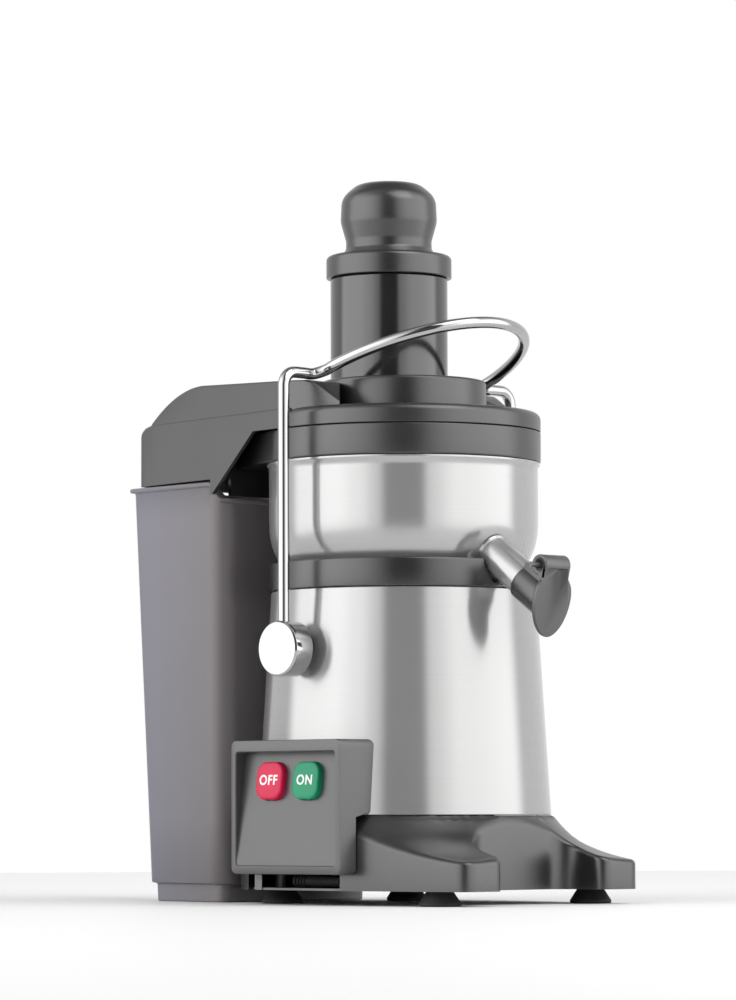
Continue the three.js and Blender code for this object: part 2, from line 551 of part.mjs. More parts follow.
const pusherRadius = FEED_BORE / 2 - PUSHER_SLIDE;
const flangeBottom = FEED_TOP + GAP;
const pusherInner = pusherRadius - PUSHER_WALL;
const pusherFlangeRadius = pusherRadius + PUSHER_SLIDE + PUSHER_FLANGE.width;
const pusherFlangeTop = flangeBottom + PUSHER_FLANGE.height;
const neckInner = PUSHER_NECK_RADIUS - PUSHER_WALL;
const pusherSolid = turned([
  [pusherRadius, PUSHER_BOTTOM], [pusherRadius, flangeBottom], [pusherFlangeRadius, flangeBottom],
  [pusherFlangeRadius, pusherFlangeTop - PUSHER_FLANGE.rounding],
  [pusherFlangeRadius - PUSHER_FLANGE.rounding, pusherFlangeTop], [PUSHER_NECK_RADIUS + 1, pusherFlangeTop + 4],
  ...PUSHER_KNOB.map(([radius, depth]) => [radius, PUSHER_TOP - depth]), [0, PUSHER_TOP],
  [0, PUSHER_TOP - PUSHER_WALL], [neckInner - 5, PUSHER_TOP - 11], [neckInner, PUSHER_TOP - 29],
  [neckInner, flangeBottom], [pusherInner, flangeBottom - 6], [pusherInner, PUSHER_BOTTOM],
  [pusherRadius, PUSHER_BOTTOM],
], 32);
addPart('pusher', pusherSolid, BLACK, 0.4).position.y = FEED_Y;

// ---------------------------------------------------------------- pivots and bail

for (const [place, side] of [['left', -1], ['right', 1]]) {
  const at = (distance) => [side * distance, PIVOT.y, PIVOT.z];
  const pinEnd = KNOB.inner + KNOB.pinDepth;
  const boss = rod(PIVOT.bushRadius, at(KNOB.inner - 14), at(KNOB.inner - GAP), 28);
  const bush = union(boss.subtract(housingCone(GAP)),
    rod(PIVOT.pinRadius + PIVOT.sleeve, at(KNOB.inner - 20), at(KNOB.inner - 4), 20))
    .subtract(rod(PIVOT.pinRadius + GAP, at(KNOB.inner - 32), at(KNOB.outer), 20));
  addPart(`pivot_bush_${place}`, bush, BLACK, 0.5);
  addPart(`pivot_pin_${place}`, rod(PIVOT.pinRadius, at(KNOB.inner - 24), at(pinEnd), 20), STEEL, 0.3, 1);

  const knobFace = KNOB.outer - KNOB.chamfer;
  const knobProfile = [[0, KNOB.inner], [KNOB.radius - KNOB.chamfer, KNOB.inner],
    [KNOB.radius, KNOB.inner + KNOB.chamfer], [KNOB.radius, knobFace], [KNOB.radius - KNOB.chamfer, KNOB.outer],
    [0, KNOB.outer]];
  const legHole = rod(BAIL.rodRadius + GAP, [side * BAIL.halfWidth, PIVOT.y, PIVOT.z - 6],
    [side * BAIL.halfWidth, PIVOT.y, PIVOT.z + KNOB.radius + 10], 16);
  const knob = turned(knobProfile, 36).rotate([0, side * 90, 0]).translate(0, PIVOT.y, PIVOT.z)
    .subtract(rod(PIVOT.pinRadius + GAP, at(KNOB.inner - 10), at(pinEnd + 0.4), 20))
    .subtract(legHole);
  addPart(`pivot_knob_${place}`, knob, CHROME, 0.12, 1);
}

// Centre line of the bail: two legs, two bends, and a half ellipse that rises forwards over the lid.
function bailPath() {
  const onLeg = (x, z) => new THREE.Vector3(x, PIVOT.y, z);
  const bendTop = BAIL.topZ - BAIL.bend;
  const leg = [PIVOT.z - 5, (PIVOT.z + bendTop) / 2, bendTop - 10].map((z) => onLeg(-BAIL.halfWidth, z));
  for (let step = 0; step <= 4; step += 1) {
    const angle = (step / 4) * (Math.PI / 2);
    leg.push(onLeg(-BAIL.halfWidth + BAIL.bend * (1 - Math.cos(angle)), bendTop + BAIL.bend * Math.sin(angle)));
  }
  leg.push(onLeg(-BAIL.bowHalf - 8, BAIL.topZ));
  const bow = [];
  const steps = 22;
  for (let step = 0; step <= steps; step += 1) {
    const angle = (step / steps) * Math.PI;
    const forward = Math.sin(angle);
    bow.push(new THREE.Vector3(-BAIL.bowHalf * Math.cos(angle), PIVOT.y - BAIL.reach * forward,
      BAIL.topZ + BAIL.rise * forward));
  }
  const otherLeg = leg.map((point) => onLeg(-point.x, point.z)).reverse();
  return [...leg, ...bow, ...otherLeg];
}

// Round bar through the given points, closed at both ends by the extrusion itself.
function bar(points, radius, sides) {
  const circle = new THREE.Shape();
  circle.absarc(0, 0, radius, 0, 2 * Math.PI);
  const extrudePath = new THREE.CatmullRomCurve3(points, false, 'centripetal');
  const settings = { extrudePath, steps: 64, curveSegments: sides, bevelEnabled: false };
  return solid(new THREE.ExtrudeGeometry(circle, settings));
}
addPart('bail_rod', bar(bailPath(), BAIL.rodRadius, 5), CHROME, 0.1, 1);

// ---------------------------------------------------------------- switch box and buttons

// The box stands off the housing on the -X side. Its face is sunk in a frame, deepest at the top.
const recessTop = BOX.top - BOX_FRAME.top;
const recessBottom = BOX.bottom + BOX_FRAME.bottom;
const recessTilt = Math.atan(BOX_FRAME.depth / (recessTop - recessBottom));

// Outline in Y and Z of the box or its recess, run along X from low to high.
function boxBlock(inset, corner, low, high) {
  const corners = [[BOX.front + inset[0], BOX.bottom + inset[1], corner],
    [BOX.rear - inset[0], BOX.bottom + inset[1], corner], [BOX.rear - inset[0], BOX.top - inset[2], corner],
    [BOX.front + inset[0], BOX.top - inset[2], corner]];
  return sidePrism(outline(corners, 0, 4).map((point) => [point.x, point.y]), low, high);
}

// Everything outside the tilted floor of the recess, moved inwards by depth.
function outsideFloor(depth) {
  const reach = 200;
  return block(-reach, 0, -reach, reach, -reach, reach).rotate([0, THREE.MathUtils.radToDeg(recessTilt), 0])
    .translate(-BOX.face + depth, 0, recessBottom);
}

const recess = outsideFloor(0)
  .intersect(boxBlock([BOX_FRAME.side, BOX_FRAME.bottom, BOX_FRAME.top], 2, -BOX.face - 30, -60));
const boxBack = -NOTCH.inner;
const baseClearance = baseSolid(-2 * GAP);
const boxCavity = boxBlock([BOX.wall, BOX_CAVITY_BOTTOM, BOX.wall], 2, -BOX.face, boxBack + 20)
  .subtract(outsideFloor(BOX.wall));

const faceAt = (z) => -BOX.face + BOX_FRAME.depth * ((z - recessBottom) / (recessTop - recessBottom));

// Button outline block in the plane of the tilted floor, reaching from inside to outside of it.
function buttonBlock(y, grow, from, to) {
  const halfWidth = BUTTON.width / 2 + grow;
  const halfHeight = BUTTON.height / 2 + grow;
  const corner = BUTTON.corner + grow;
  const points = outline([[-halfWidth, -halfHeight, corner], [halfWidth, -halfHeight, corner],
    [halfWidth, halfHeight, corner], [-halfWidth, halfHeight, corner]], 0, 5);
  const geometry = extruded(points, to - from).translate(0, 0, from);
  geometry.applyMatrix4(new THREE.Matrix4().makeBasis(AXIS_Y.clone().negate(), AXIS_Z, AXIS_X.clone().negate()));
  return solid(geometry.rotateY(recessTilt).translate(faceAt(BUTTON.z), y, BUTTON.z));
}

const buttonHoles = union(...[BUTTON.offY, BUTTON.onY].map((y) => buttonBlock(y, BUTTON_CLEARANCE, -20, 20)));
const boxSolid = boxBlock([0, 0, 0], BOX.corner, -BOX.face, boxBack)
  .subtract(recess).subtract(housingCone(GAP, 20, HOUSING_TOP)).subtract(baseClearance)
  .subtract(boxCavity).subtract(buttonHoles);
addPart('switch_box', boxSolid, GREY, 0.55);

const lipTop = -BOX.wall - GAP - 1.2;
for (const [name, y, color] of [['off_button', BUTTON.offY, 0xd0305a], ['on_button', BUTTON.onY, 0x2f9a78]]) {
  const button = buttonBlock(y, 0, lipTop - 2, BUTTON.proud)
    .add(buttonBlock(y, BUTTON.lip, lipTop - 2, lipTop));
  addPart(name, button, color, 0.35);
}
for (const [name, y] of [['off_switch', BUTTON.offY], ['on_switch', BUTTON.onY]]) {
  const back = lipTop - 2 - BUTTON_TRAVEL - 0.6;
  addPart(name, buttonBlock(y, -5, back - 8, back), 0x3a3a3a, 0.6);
}

// ---------------------------------------------------------------- pulp container

const BIN_CORNERS = mirroredCorners([[BIN.frontHalf, BIN.front, BIN.frontCorner],
  [BIN.rearHalf, BIN.rear, BIN.rearCorner]]);

// Straight-sided block of the container's outline, drawn in towards the bottom at the rear and sides.
function binBlock(inset, bottom, top) {
  const geometry = extruded(outline(BIN_CORNERS, inset, 4), top - bottom).translate(0, 0, bottom);
  const position = geometry.attributes.position;
  for (let i = 0; i < position.count; i += 1) {
    const depth = (position.getY(i) - BIN.front) / (BIN.rear - BIN.front);
    const down = 1 - position.getZ(i) / BIN_TOP;
    position.setY(i, position.getY(i) - BIN_TAPER.rear * down * depth);
    position.setX(i, position.getX(i) * (1 - BIN_TAPER.side * down * depth));
  }
  return solid(geometry);
}

// Side view of the rim band: level, then stepped down in front.
const rimStep = [[BIN.front - 10, BIN_FRONT_TOP], [BIN.front + 1, BIN_FRONT_TOP],
  [BIN.front + 4, BIN_FRONT_TOP + 3],
  [BIN.front + 7, BIN_TOP - 3], [BIN.front + 10, BIN_TOP], [BIN.rear + 20, BIN_TOP]];
const underLip = rimStep.map(([y, z]) => [y, z - BIN_LIP.height]);
const rimBand = sidePrism([...underLip, ...rimStep.slice().reverse()], -110, 110);
const belowRim = sidePrism([[BIN.front - 10, -10], [BIN.rear + 20, -10], ...rimStep.slice().reverse()],
  -110, 110);
const binSolid = union(
  binBlock(0, BIN_PLINTH.height, BIN_TOP).intersect(belowRim),
  binBlock(BIN_PLINTH.inset, 0, BIN_PLINTH.height + 1),
  binBlock(-BIN_LIP.width, BIN_FRONT_TOP - BIN_LIP.height, BIN_TOP).intersect(rimBand)
    .subtract(block(-120, 120, BIN.front - 20, BIN.front + 0.01, 0, 400)),
).subtract(binBlock(BIN.wall, BIN_PLINTH.height + BIN.wall, BIN_TOP + 10))
  .subtract(binBlock(BIN_PLINTH.inset + BIN.wall, BIN.wall, BIN_PLINTH.height + 5));
addPart('pulp_container', binSolid, SMOKE, 0.35);

// ---------------------------------------------------------------- motor and drive

const mountBottom = plateTop + GAP + ISOLATOR.height + GAP;
const mountTop = mountBottom + MOUNT_PLATE.thickness;
for (let i = 0; i < 4; i += 1) {
  const angle = (i + 0.5) * (Math.PI / 2);
  const isolator = disc(ISOLATOR.radius, plateTop + GAP, plateTop + GAP + ISOLATOR.height, SMALL_ROUND);
  addPart(`isolator_${i + 1}`, isolator, RUBBER, 0.8)
    .position.set(ISOLATOR.ring * Math.cos(angle), ISOLATOR.ring * Math.sin(angle), 0);
}
addPart('motor_mount_plate', ring(14, MOUNT_PLATE.radius, mountBottom, mountTop, 28), STEEL, 0.4, 1);

// Profile of an end bell from the stator's face at z to its closed end, which holds a bearing.
const shellBore = STATOR.radius - BELL.wall;
const bearingPocket = BEARING_RADIUS + GAP;
function endBell(statorFace, end, endBore) {
  const inwards = Math.sign(statorFace - end);
  const floor = end + inwards * BELL.wall;
  const pocketEnd = floor + inwards * BELL.pocketDepth;
  const profile = [[STATOR.radius, end], [STATOR.radius, statorFace], [shellBore, statorFace],
    [shellBore, floor],
    [bearingPocket + BELL.pocketWall, floor], [bearingPocket + BELL.pocketWall, pocketEnd],
    [bearingPocket, pocketEnd], [bearingPocket, floor], [endBore, floor], [endBore, end]];
  return turned(inwards > 0 ? profile : profile.reverse(), 24);
}

const bellBottom = mountTop + GAP;
const bellTop = STATOR.top + BELL.upperHeight;
addPart('end_bell_lower', endBell(STATOR.bottom - GAP, bellBottom, 4), 0x9a9c9e, 0.5, 1);
addPart('end_bell_upper', endBell(STATOR.top + GAP, bellTop, SHAFT_RADIUS + 2), 0x9a9c9e, 0.5, 1);
const bearingHeight = BELL.pocketDepth - 1 - GAP;
for (const [place, bottom] of [['lower', bellBottom + BELL.wall + GAP],
  ['upper', bellTop - BELL.wall - GAP - bearingHeight]]) {
  const bearing = ring(SHAFT_RADIUS + GAP, BEARING_RADIUS, bottom, bottom + bearingHeight, 20);
  addPart(`bearing_${place}`, bearing, STEEL, 0.2, 1);
}

addPart('motor_stator', ring(STATOR.bore, STATOR.radius, STATOR.bottom, STATOR.top, 24), 0x6d7075, 0.5, 1);
for (const [place, bottom] of [['lower', STATOR.bottom - GAP - WINDING.height], ['upper', STATOR.top + GAP]]) {
  const winding = ring(WINDING.inner, WINDING.outer, bottom, bottom + WINDING.height, 20);
  addPart(`winding_${place}`, winding, COPPER, 0.4, 1);
}

const capacitor = disc(14, mountTop + GAP, mountTop + 62, SMALL_ROUND);
addPart('capacitor', capacitor, 0xcfd0d2, 0.35).position.set(70, 0, 0);
addPart('terminal_block', block(-82, -58, -16, 16, mountTop + GAP, mountTop + 16), 0xd8d4c8, 0.6);
addPart('interlock_switch', block(-74, -60, -10, 10, PIVOT.z - 9, PIVOT.z + 9), 0x3a3a3a, 0.6);
addPart('shaft_seal', ring(SHAFT_RADIUS + GAP, sealOuter - GAP, HOUSING_TOP + 1, deckTop - 0.5, 20), RUBBER, 0.8);

const shaftBottom = bellBottom + 4.5;
addPart('motor_shaft', disc(SHAFT_RADIUS, shaftBottom, SHAFT_TOP, 24), STEEL, 0.25, 1);
addPart('rotor_core', ring(SHAFT_RADIUS + GAP, ROTOR_RADIUS, STATOR.bottom, STATOR.top, 24), 0x85888c, 0.5, 1);

const fanBottom = bellTop + FAN.above;
const fanBlades = [];
for (let i = 0; i < FAN.blades; i += 1) {
  const blade = block(FAN.hub - 1, FAN.radius - 2, -1, 1, fanBottom + 1, fanBottom + FAN.height);
  fanBlades.push(blade.rotate([0, 0, (i * 360) / FAN.blades]));
}
const fanSolid = union(ring(SHAFT_RADIUS + GAP, FAN.radius, fanBottom, fanBottom + FAN.plate, 24),
  ring(SHAFT_RADIUS + GAP, FAN.hub, fanBottom, fanBottom + FAN.height, 16), ...fanBlades);
addPart('cooling_fan', fanSolid, 0xe0e0dc, 0.5);

const hubBottom = bowlFloor + 3;
const basketFloor = hubBottom + 15;
const hubBoss = 9.7;
addPart('drive_hub', turned([[13, hubBottom], [13, basketFloor - GAP], [hubBoss, basketFloor - GAP],
  [hubBoss, basketFloor + 5], [SHAFT_RADIUS + GAP, basketFloor + 5],
  [SHAFT_RADIUS + GAP, hubBottom]], 20), BLACK, 0.5);

const basketTop = BOWL_TOP - 6;
const basketUpper = basketFloor + BASKET.wall + GAP;
addPart('filter_basket', turned([[hubBoss + GAP, basketFloor], [BASKET.floorRadius, basketFloor],
  [BASKET.topRadius + BASKET.wall, basketTop - BASKET.lip], [BASKET.topRadius + 5.2, basketTop - BASKET.lip],
  [BASKET.topRadius + 5.2, basketTop], [BASKET.topRadius, basketTop],
  [BASKET.floorRadius - 1, basketUpper], [hubBoss + GAP, basketUpper]]), STEEL, 0.35, 1);
const graterSolid = ring(hubBoss + GAP, BASKET.floorRadius - 4, basketUpper + GAP, basketFloor + 4);
addPart('grater_disc', graterSolid, STEEL, 0.35, 1);
const nutBore = (SHAFT_RADIUS + GAP) / Math.cos(Math.PI / 6);
addPart('basket_nut', ring(nutBore, 13, basketFloor + 5 + GAP, SHAFT_TOP - 2, 6), BLACK, 0.5);

// ---------------------------------------------------------------- origin at the middle of the footprint

const bounds = new THREE.Box3().setFromObject(juicer, true);
juicer.position.set(-(bounds.min.x + bounds.max.x) / 2, -(bounds.min.y + bounds.max.y) / 2, -bounds.min.z);

export default juicer;
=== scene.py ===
"""Looks of the centrifugal juicer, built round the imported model.

Shapes are worked out in millimetres about the spin axis, with z = 0 on the bench, and piece() moves
them into the frame in metres. The spout points to -Y and the switch box is on the -X side.
"""

import json
import math

import bmesh
import bpy
from mathutils import Matrix, Vector
from mathutils.geometry import delaunay_2d_cdt


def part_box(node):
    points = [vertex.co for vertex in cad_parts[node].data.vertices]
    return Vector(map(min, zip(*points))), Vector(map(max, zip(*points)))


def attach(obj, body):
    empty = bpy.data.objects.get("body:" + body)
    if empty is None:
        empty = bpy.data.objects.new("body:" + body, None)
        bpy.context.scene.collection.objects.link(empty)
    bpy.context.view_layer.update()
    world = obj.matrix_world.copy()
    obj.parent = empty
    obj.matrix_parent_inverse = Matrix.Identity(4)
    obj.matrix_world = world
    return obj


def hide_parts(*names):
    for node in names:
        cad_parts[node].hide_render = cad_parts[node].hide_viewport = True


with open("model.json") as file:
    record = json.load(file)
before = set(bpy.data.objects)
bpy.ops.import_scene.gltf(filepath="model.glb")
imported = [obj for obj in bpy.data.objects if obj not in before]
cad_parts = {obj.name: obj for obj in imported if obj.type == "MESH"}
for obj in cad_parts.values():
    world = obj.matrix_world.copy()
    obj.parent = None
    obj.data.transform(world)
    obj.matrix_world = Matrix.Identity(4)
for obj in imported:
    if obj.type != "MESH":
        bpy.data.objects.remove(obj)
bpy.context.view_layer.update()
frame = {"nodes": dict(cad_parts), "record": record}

MM = 0.001
housing_low, housing_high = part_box("motor_housing")
AXIS_Y = (housing_low[1] + housing_high[1]) / 2
TO_FRAME = Matrix.Translation((0, AXIS_Y, 0)) @ Matrix.Scale(MM, 4)

ROOT = "main_body"

# Facets of round pieces
ROUND = 160
SMALL_ROUND = 64
BOWL_ROUND = 360

# Outlines are lists of (x, y, rounding) corners; the ones called HALF are mirrored in x = 0.

# Lid
LID_RADIUS, LID_TOP, LID_WALL, RIM_TOP = 96, 340.5, 3, 327
COLLAR_RADIUS, COLLAR_TOP = 58.4, 363
CHUTE = [(-94.6, 16, 0.6), (94.6, 16, 0.6), (67, 204, 8), (-67, 204, 8)]
CHUTE_BOTTOM, CHUTE_TIP = 297, 286.5
MOUTH_FRONT, MOUTH_REAR = 60, 110
CHUTE_ROUNDING = 8
DOME = [(-88, -27, 0.5), (-56, 6, 0.5), (56, 6, 0.5), (88, -27, 0.5), (93.4, 16, 30), (67.7, 190, 3),
        (-67.7, 190, 3), (-93.4, 16, 30)]
DOME_REAR, CURVE_START, DOME_PEAK = 190, 125, 364.4

# Rim ring with the trough under the chute
RIM_BOTTOM, RING_TOP, RIM_BORE = 305.5, 326.7, 91
TROUGH = [(-88, 37, 0.5), (88, 37, 0.5), (57, 111, 6), (-57, 111, 6)]
TROUGH_FLOOR = 308.5
TROUGH_INSIDE = [(-85, 20), (85, 20), (52.5, 130), (-52.5, 130)]
DEFLECTOR_HALF, DEFLECTOR_BOTTOM, DEFLECTOR_WALL = 64, 286, 2.5

# Bowl
BOWL_RADIUS, BOWL_WALL = 94, 1.2
BOWL_BOTTOM, CURVE_BOTTOM, CURVE_TOP, CURVE_DEPTH = 222.4, 236, 270, 7.6

# Spout, its collar and the drip flap
SPOUT_ANGLE = math.radians(33.9)
SPOUT_ROOT = Vector((0, -85.6, 240.6))
SPOUT_DOWN = Vector((0, -math.cos(SPOUT_ANGLE), -math.sin(SPOUT_ANGLE)))
SPOUT_RADIUS, SPOUT_LENGTH = 12, 47
SPOUT_COLLAR_RADIUS, SPOUT_COLLAR_START = 13.75, 38
HINGE = Vector((0, -141, 229))
HINGE_PIN_BORE = 1.8
HOOD_RADIUS, HOOD_HALF, EAR_HALF = 7, 12, 9.4
LUG_HALF = 9.1
FLAP_TILT = math.radians(13)
FLAP_WIDEST, FLAP_WIDEST_DROP, FLAP_REACH = 17.5, 21, 27.4

# Seat ring and motor housing
SEAT_RADIUS, SEAT_BORE, SEAT_TOP, SEAT_BOTTOM = 93.5, 89.5, 235.6, 216
HOUSING_BOTTOM, HOUSING_TOP = 60.8, 215.7
HOUSING_CONE = [(60.5, 102), (216, 92.4)]
HOUSING_WALL = 1.2

# Base
BASE_HALF = [(48, -106, 16), (48, -143, 9), (85.5, -143, 11), (105, -20, 60), (103, 45, 40), (62, 103, 30)]
BASE_STOPS = [(103, 60.5), (105.5, 57.1), (108, 54.4), (113, 49.0), (118.5, 44.3), (124, 41.0),
              (129, 38.7), (136, 35.9), (143, 33.8), (150, 32.1), (158, 30.6), (168, 29.6)]
BASE_BOTTOM, BASE_WALL, BASE_BORE = 10, 3, 90
NOTCH_LOW, NOTCH_HIGH = (-120, -40, 5), (-80, 60, 21.3)
FEET = {"front_left": (-74, -107), "front_right": (74, -107), "rear_left": (-61, 59), "rear_right": (61, 59)}
GLAND = Vector((-90, 0, 16.1))

# Bail, knobs and bushes
PIVOT = Vector((0, 3.5, 174))
ROD_RADIUS, LEG_X, ROD_TOP, BEND, BOW_HALF, REACH, RISE = 4, 112, 363.6, 10, 79, 94, 34
KNOB_RADIUS, KNOB_INNER, KNOB_OUTER = 19, 102, 118.8
PIN_RADIUS, SLEEVE_RADIUS, BUSH_RADIUS = 4.8, 7.1, 12

# Switch box and buttons
BOX = {"front": -54, "rear": 53, "face": 115.5, "bottom": 21, "top": 112}
BOX_WALL = 2.5
BOX_OVER_BASE = 61.6                # the box meets the housing above this height, and the base below it
BASE_SIDE, BASE_SIDE_TAPER, BASE_TAPER_START = 105.7, 0.16, -20
FLOOR_LOW, FLOOR_HIGH, FLOOR_DEPTH = 27, 104, 9.6
FLOOR_TILT = math.atan(FLOOR_DEPTH / (FLOOR_HIGH - FLOOR_LOW))
FLOOR_TURN = Matrix.Rotation(FLOOR_TILT, 3, "Y") @ Matrix(((0, 0, -1), (-1, 0, 0), (0, 1, 0)))
BUTTON_Z, BUTTON_HALF_WIDTH, BUTTON_HALF_HEIGHT, BUTTON_CORNER = 84, 12.5, 12.8, 8
OFF_Y, ON_Y = 18, -17.5
BUTTON_RINGS = [(-6, 0), (3.0, 0), (3.7, 0.15), (4.2, 0.5), (4.5, 1.2), (4.6, 3.0), (4.68, 6), (4.7, 9)]
LETTER_SIZE, LETTER_BASE = 9.4, 4.74

# Pulp container
BIN_FRONT, BIN_REAR, BIN_TOP, BIN_FRONT_TOP, BIN_WALL = 105, 207.5, 295.5, 284, 2.5
BIN_HALF = [(77, BIN_FRONT, 14), (70, BIN_REAR, 8)]
BIN_SIDE_TAPER, BIN_REAR_TAPER = 0.1, 12
STEP_START, STEP_LENGTH = 106.5, 9.5

# Camera, in metres and degrees, and the round floor, in millimetres
CAMERA_SIDE = math.radians(-135)
CAMERA_DISTANCE, CAMERA_HEIGHT, CAMERA_PITCH, CAMERA_YAW, CAMERA_ROLL = 3.127, 0.062, 3.997, 0.455, -0.153
CAMERA_LENS = 161.5
FLOOR_RADIUS = 1700
FLOOR_THICKNESS = 20


# ------------------------------------------------------------------ mesh helpers

def fillet(corners, steps=6, closed=False):
    """Points of a polyline given as (u, v) or (u, v, radius) corners, with its corners rounded."""
    count = len(corners)
    points = []
    for i, corner in enumerate(corners):
        here = Vector(corner[:2])
        radius = corner[2] if len(corner) > 2 else 0
        if radius == 0 or (not closed and i in (0, count - 1)):
            points.append(here)
            continue
        before = (here - Vector(corners[i - 1][:2])).normalized()
        after = (Vector(corners[(i + 1) % count][:2]) - here).normalized()
        turn = math.atan2(before.x * after.y - before.y * after.x, before.dot(after))
        start = here - before * radius * math.tan(abs(turn) / 2)
        side = Vector((-before.y, before.x)) * math.copysign(radius, turn)
        centre = start + side
        for step in range(steps + 1):
            points.append(centre + Matrix.Rotation(turn * step / steps, 2) @ (start - centre))
    return points


def inset_corners(corners, inset):
    """Corners (x, y, radius) of a counter-clockwise outline, moved inwards."""
    moved = []
    for i, (x, y, radius) in enumerate(corners):
        here = Vector((x, y))
        before = (here - Vector(corners[i - 1][:2])).normalized()
        after = (Vector(corners[(i + 1) % len(corners)][:2]) - here).normalized()
        turn = math.atan2(before.x * after.y - before.y * after.x, before.dot(after))
        inwards = Vector((-before.y, before.x))
        point = here + inwards * inset - before * inset * math.tan(turn / 2)
        moved.append((point.x, point.y, max(radius - math.copysign(inset, turn), 0.05)))
    return moved


def outline(corners, inset=0, steps=8):
    return fillet(inset_corners(corners, inset), steps, closed=True)


def fine_outline(corners, inset=0, spacing=3.0):
    """Rounded outline with points added along its straight sides, as many for every inset."""
    plain = outline(corners)
    moved = outline(corners, inset)
    points = []
    for i, point in enumerate(moved):
        length = (plain[(i + 1) % len(plain)] - plain[i]).length
        parts = max(1, round(length / spacing))
        following = moved[(i + 1) % len(moved)]
        points += [point.lerp(following, k / parts) for k in range(parts)]
    return points


def mirrored(half):
    return half + [(-x, y, radius) for x, y, radius in reversed(half)]


def lathe(profile, segments=ROUND):
    """Vertices and faces of a profile of (radius, z) points turned about Z."""
    verts, rings = [], []
    for radius, z in profile:
        if radius < 1e-6:
            rings.append([len(verts)] * segments)
            verts.append(Vector((0, 0, z)))
            continue
        rings.append(list(range(len(verts), len(verts) + segments)))
        for i in range(segments):
            angle = 2 * math.pi * i / segments
            verts.append(Vector((radius * math.cos(angle), radius * math.sin(angle), z)))
    return verts, join_rings(rings)


def join_rings(rings):
    faces = []
    for low, high in zip(rings, rings[1:]):
        for i in range(len(low)):
            j = (i + 1) % len(low)
            face = []
            for index in (low[i], low[j], high[j], high[i]):
                if index not in face:
                    face.append(index)
            if len(face) > 2:
                faces.append(face)
    return faces


def loft(rings, cap_first=True, cap_last=True):
    """Vertices and faces of a skin over rings of 3D points that all have the same count."""
    verts = [Vector(point) for ring in rings for point in ring]
    size = len(rings[0])
    indices = [list(range(i * size, (i + 1) * size)) for i in range(len(rings))]
    faces = join_rings(indices)
    if cap_first:
        faces.append(indices[0][::-1])
    if cap_last:
        faces.append(indices[-1])
    return verts, faces


def flat_ring(points, z):
    return [Vector((p[0], p[1], z)) for p in points]


def along(start, direction, verts):
    """Turns vertices built about Z so that Z lies along direction, with its zero at start."""
    turn = Vector((0, 0, 1)).rotation_difference(Vector(direction))
    return [Vector(start) + turn @ v for v in verts]


def turned_along(start, direction, profile, segments):
    """A lathed profile whose axis starts at start and runs along direction."""
    verts, faces = lathe(profile, segments)
    return along(start, direction, verts), faces


def shifted(shape, offset):
    verts, faces = shape
    return [v + Vector(offset) for v in verts], faces


def merge(*parts):
    verts, faces = [], []
    for part_verts, part_faces in parts:
        offset = len(verts)
        verts += part_verts
        faces += [[index + offset for index in face] for face in part_faces]
    return verts, faces


def new_object(name, shape):
    verts, faces = shape
    mesh = bpy.data.meshes.new(name)
    mesh.from_pydata([tuple(v) for v in verts], [], faces)
    mesh.validate()
    obj = bpy.data.objects.new(name, mesh)
    bpy.context.scene.collection.objects.link(obj)
    return obj


def close_up(obj):
    """Welds doubled points and turns every face outwards."""
    soft = bmesh.new()
    soft.from_mesh(obj.data)
    bmesh.ops.remove_doubles(soft, verts=soft.verts, dist=1e-4)
    bmesh.ops.dissolve_degenerate(soft, edges=soft.edges, dist=1e-5)
    bmesh.ops.recalc_face_normals(soft, faces=soft.faces)
    soft.to_mesh(obj.data)
    soft.free()


def solid(shape):
    obj = new_object("solid", shape)
    close_up(obj)
    return obj


def combine(first, other, operation):
    """Boolean of two solids; both are used up."""
    modifier = first.modifiers.new("cut", "BOOLEAN")
    modifier.operation = operation
    modifier.solver = "EXACT"
    modifier.object = other
    graph = bpy.context.evaluated_depsgraph_get()
    result = bpy.data.meshes.new_from_object(first.evaluated_get(graph))
    first.modifiers.clear()
    first.data = result
    bpy.data.objects.remove(other)
    return first


def unite(first, *others):
    for other in others:
        combine(first, other, "UNION")
    return first


def cut(first, *others):
    for other in others:
        combine(first, other, "DIFFERENCE")
    return first


def piece(name, shape, material, body=ROOT, replaces=None, sharp=32):
    """A finished piece from (verts, faces) or from a solid, in millimetres about the spin axis."""
    obj = shape if isinstance(shape, bpy.types.Object) else solid(shape)
    obj.name = name
    obj.data.name = name
    obj.data.transform(TO_FRAME)
    obj.data.materials.clear()
    obj.data.materials.append(material)
    obj.data.shade_smooth()
    obj.data.set_sharp_from_angle(angle=math.radians(sharp))
    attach(obj, body)
    if replaces:
        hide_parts(replaces)
    return obj


def block(low, high):
    (x0, y0, z0), (x1, y1, z1) = low, high
    base = [(x0, y0), (x1, y0), (x1, y1), (x0, y1)]
    return loft([flat_ring(base, z0), flat_ring(base, z1)])


def prism(points, z0, z1):
    return loft([flat_ring(points, z0), flat_ring(points, z1)])


def side_prism(pairs, x0, x1):
    """Outline of (y, z) pairs running along X."""
    return loft([[Vector((x, y, z)) for y, z in pairs] for x in (x0, x1)])


def rod(radius, start, end, segments=SMALL_ROUND):
    reach = Vector(end) - Vector(start)
    profile = [(0, 0), (radius, 0), (radius, reach.length), (0, reach.length)]
    return turned_along(start, reach, profile, segments)


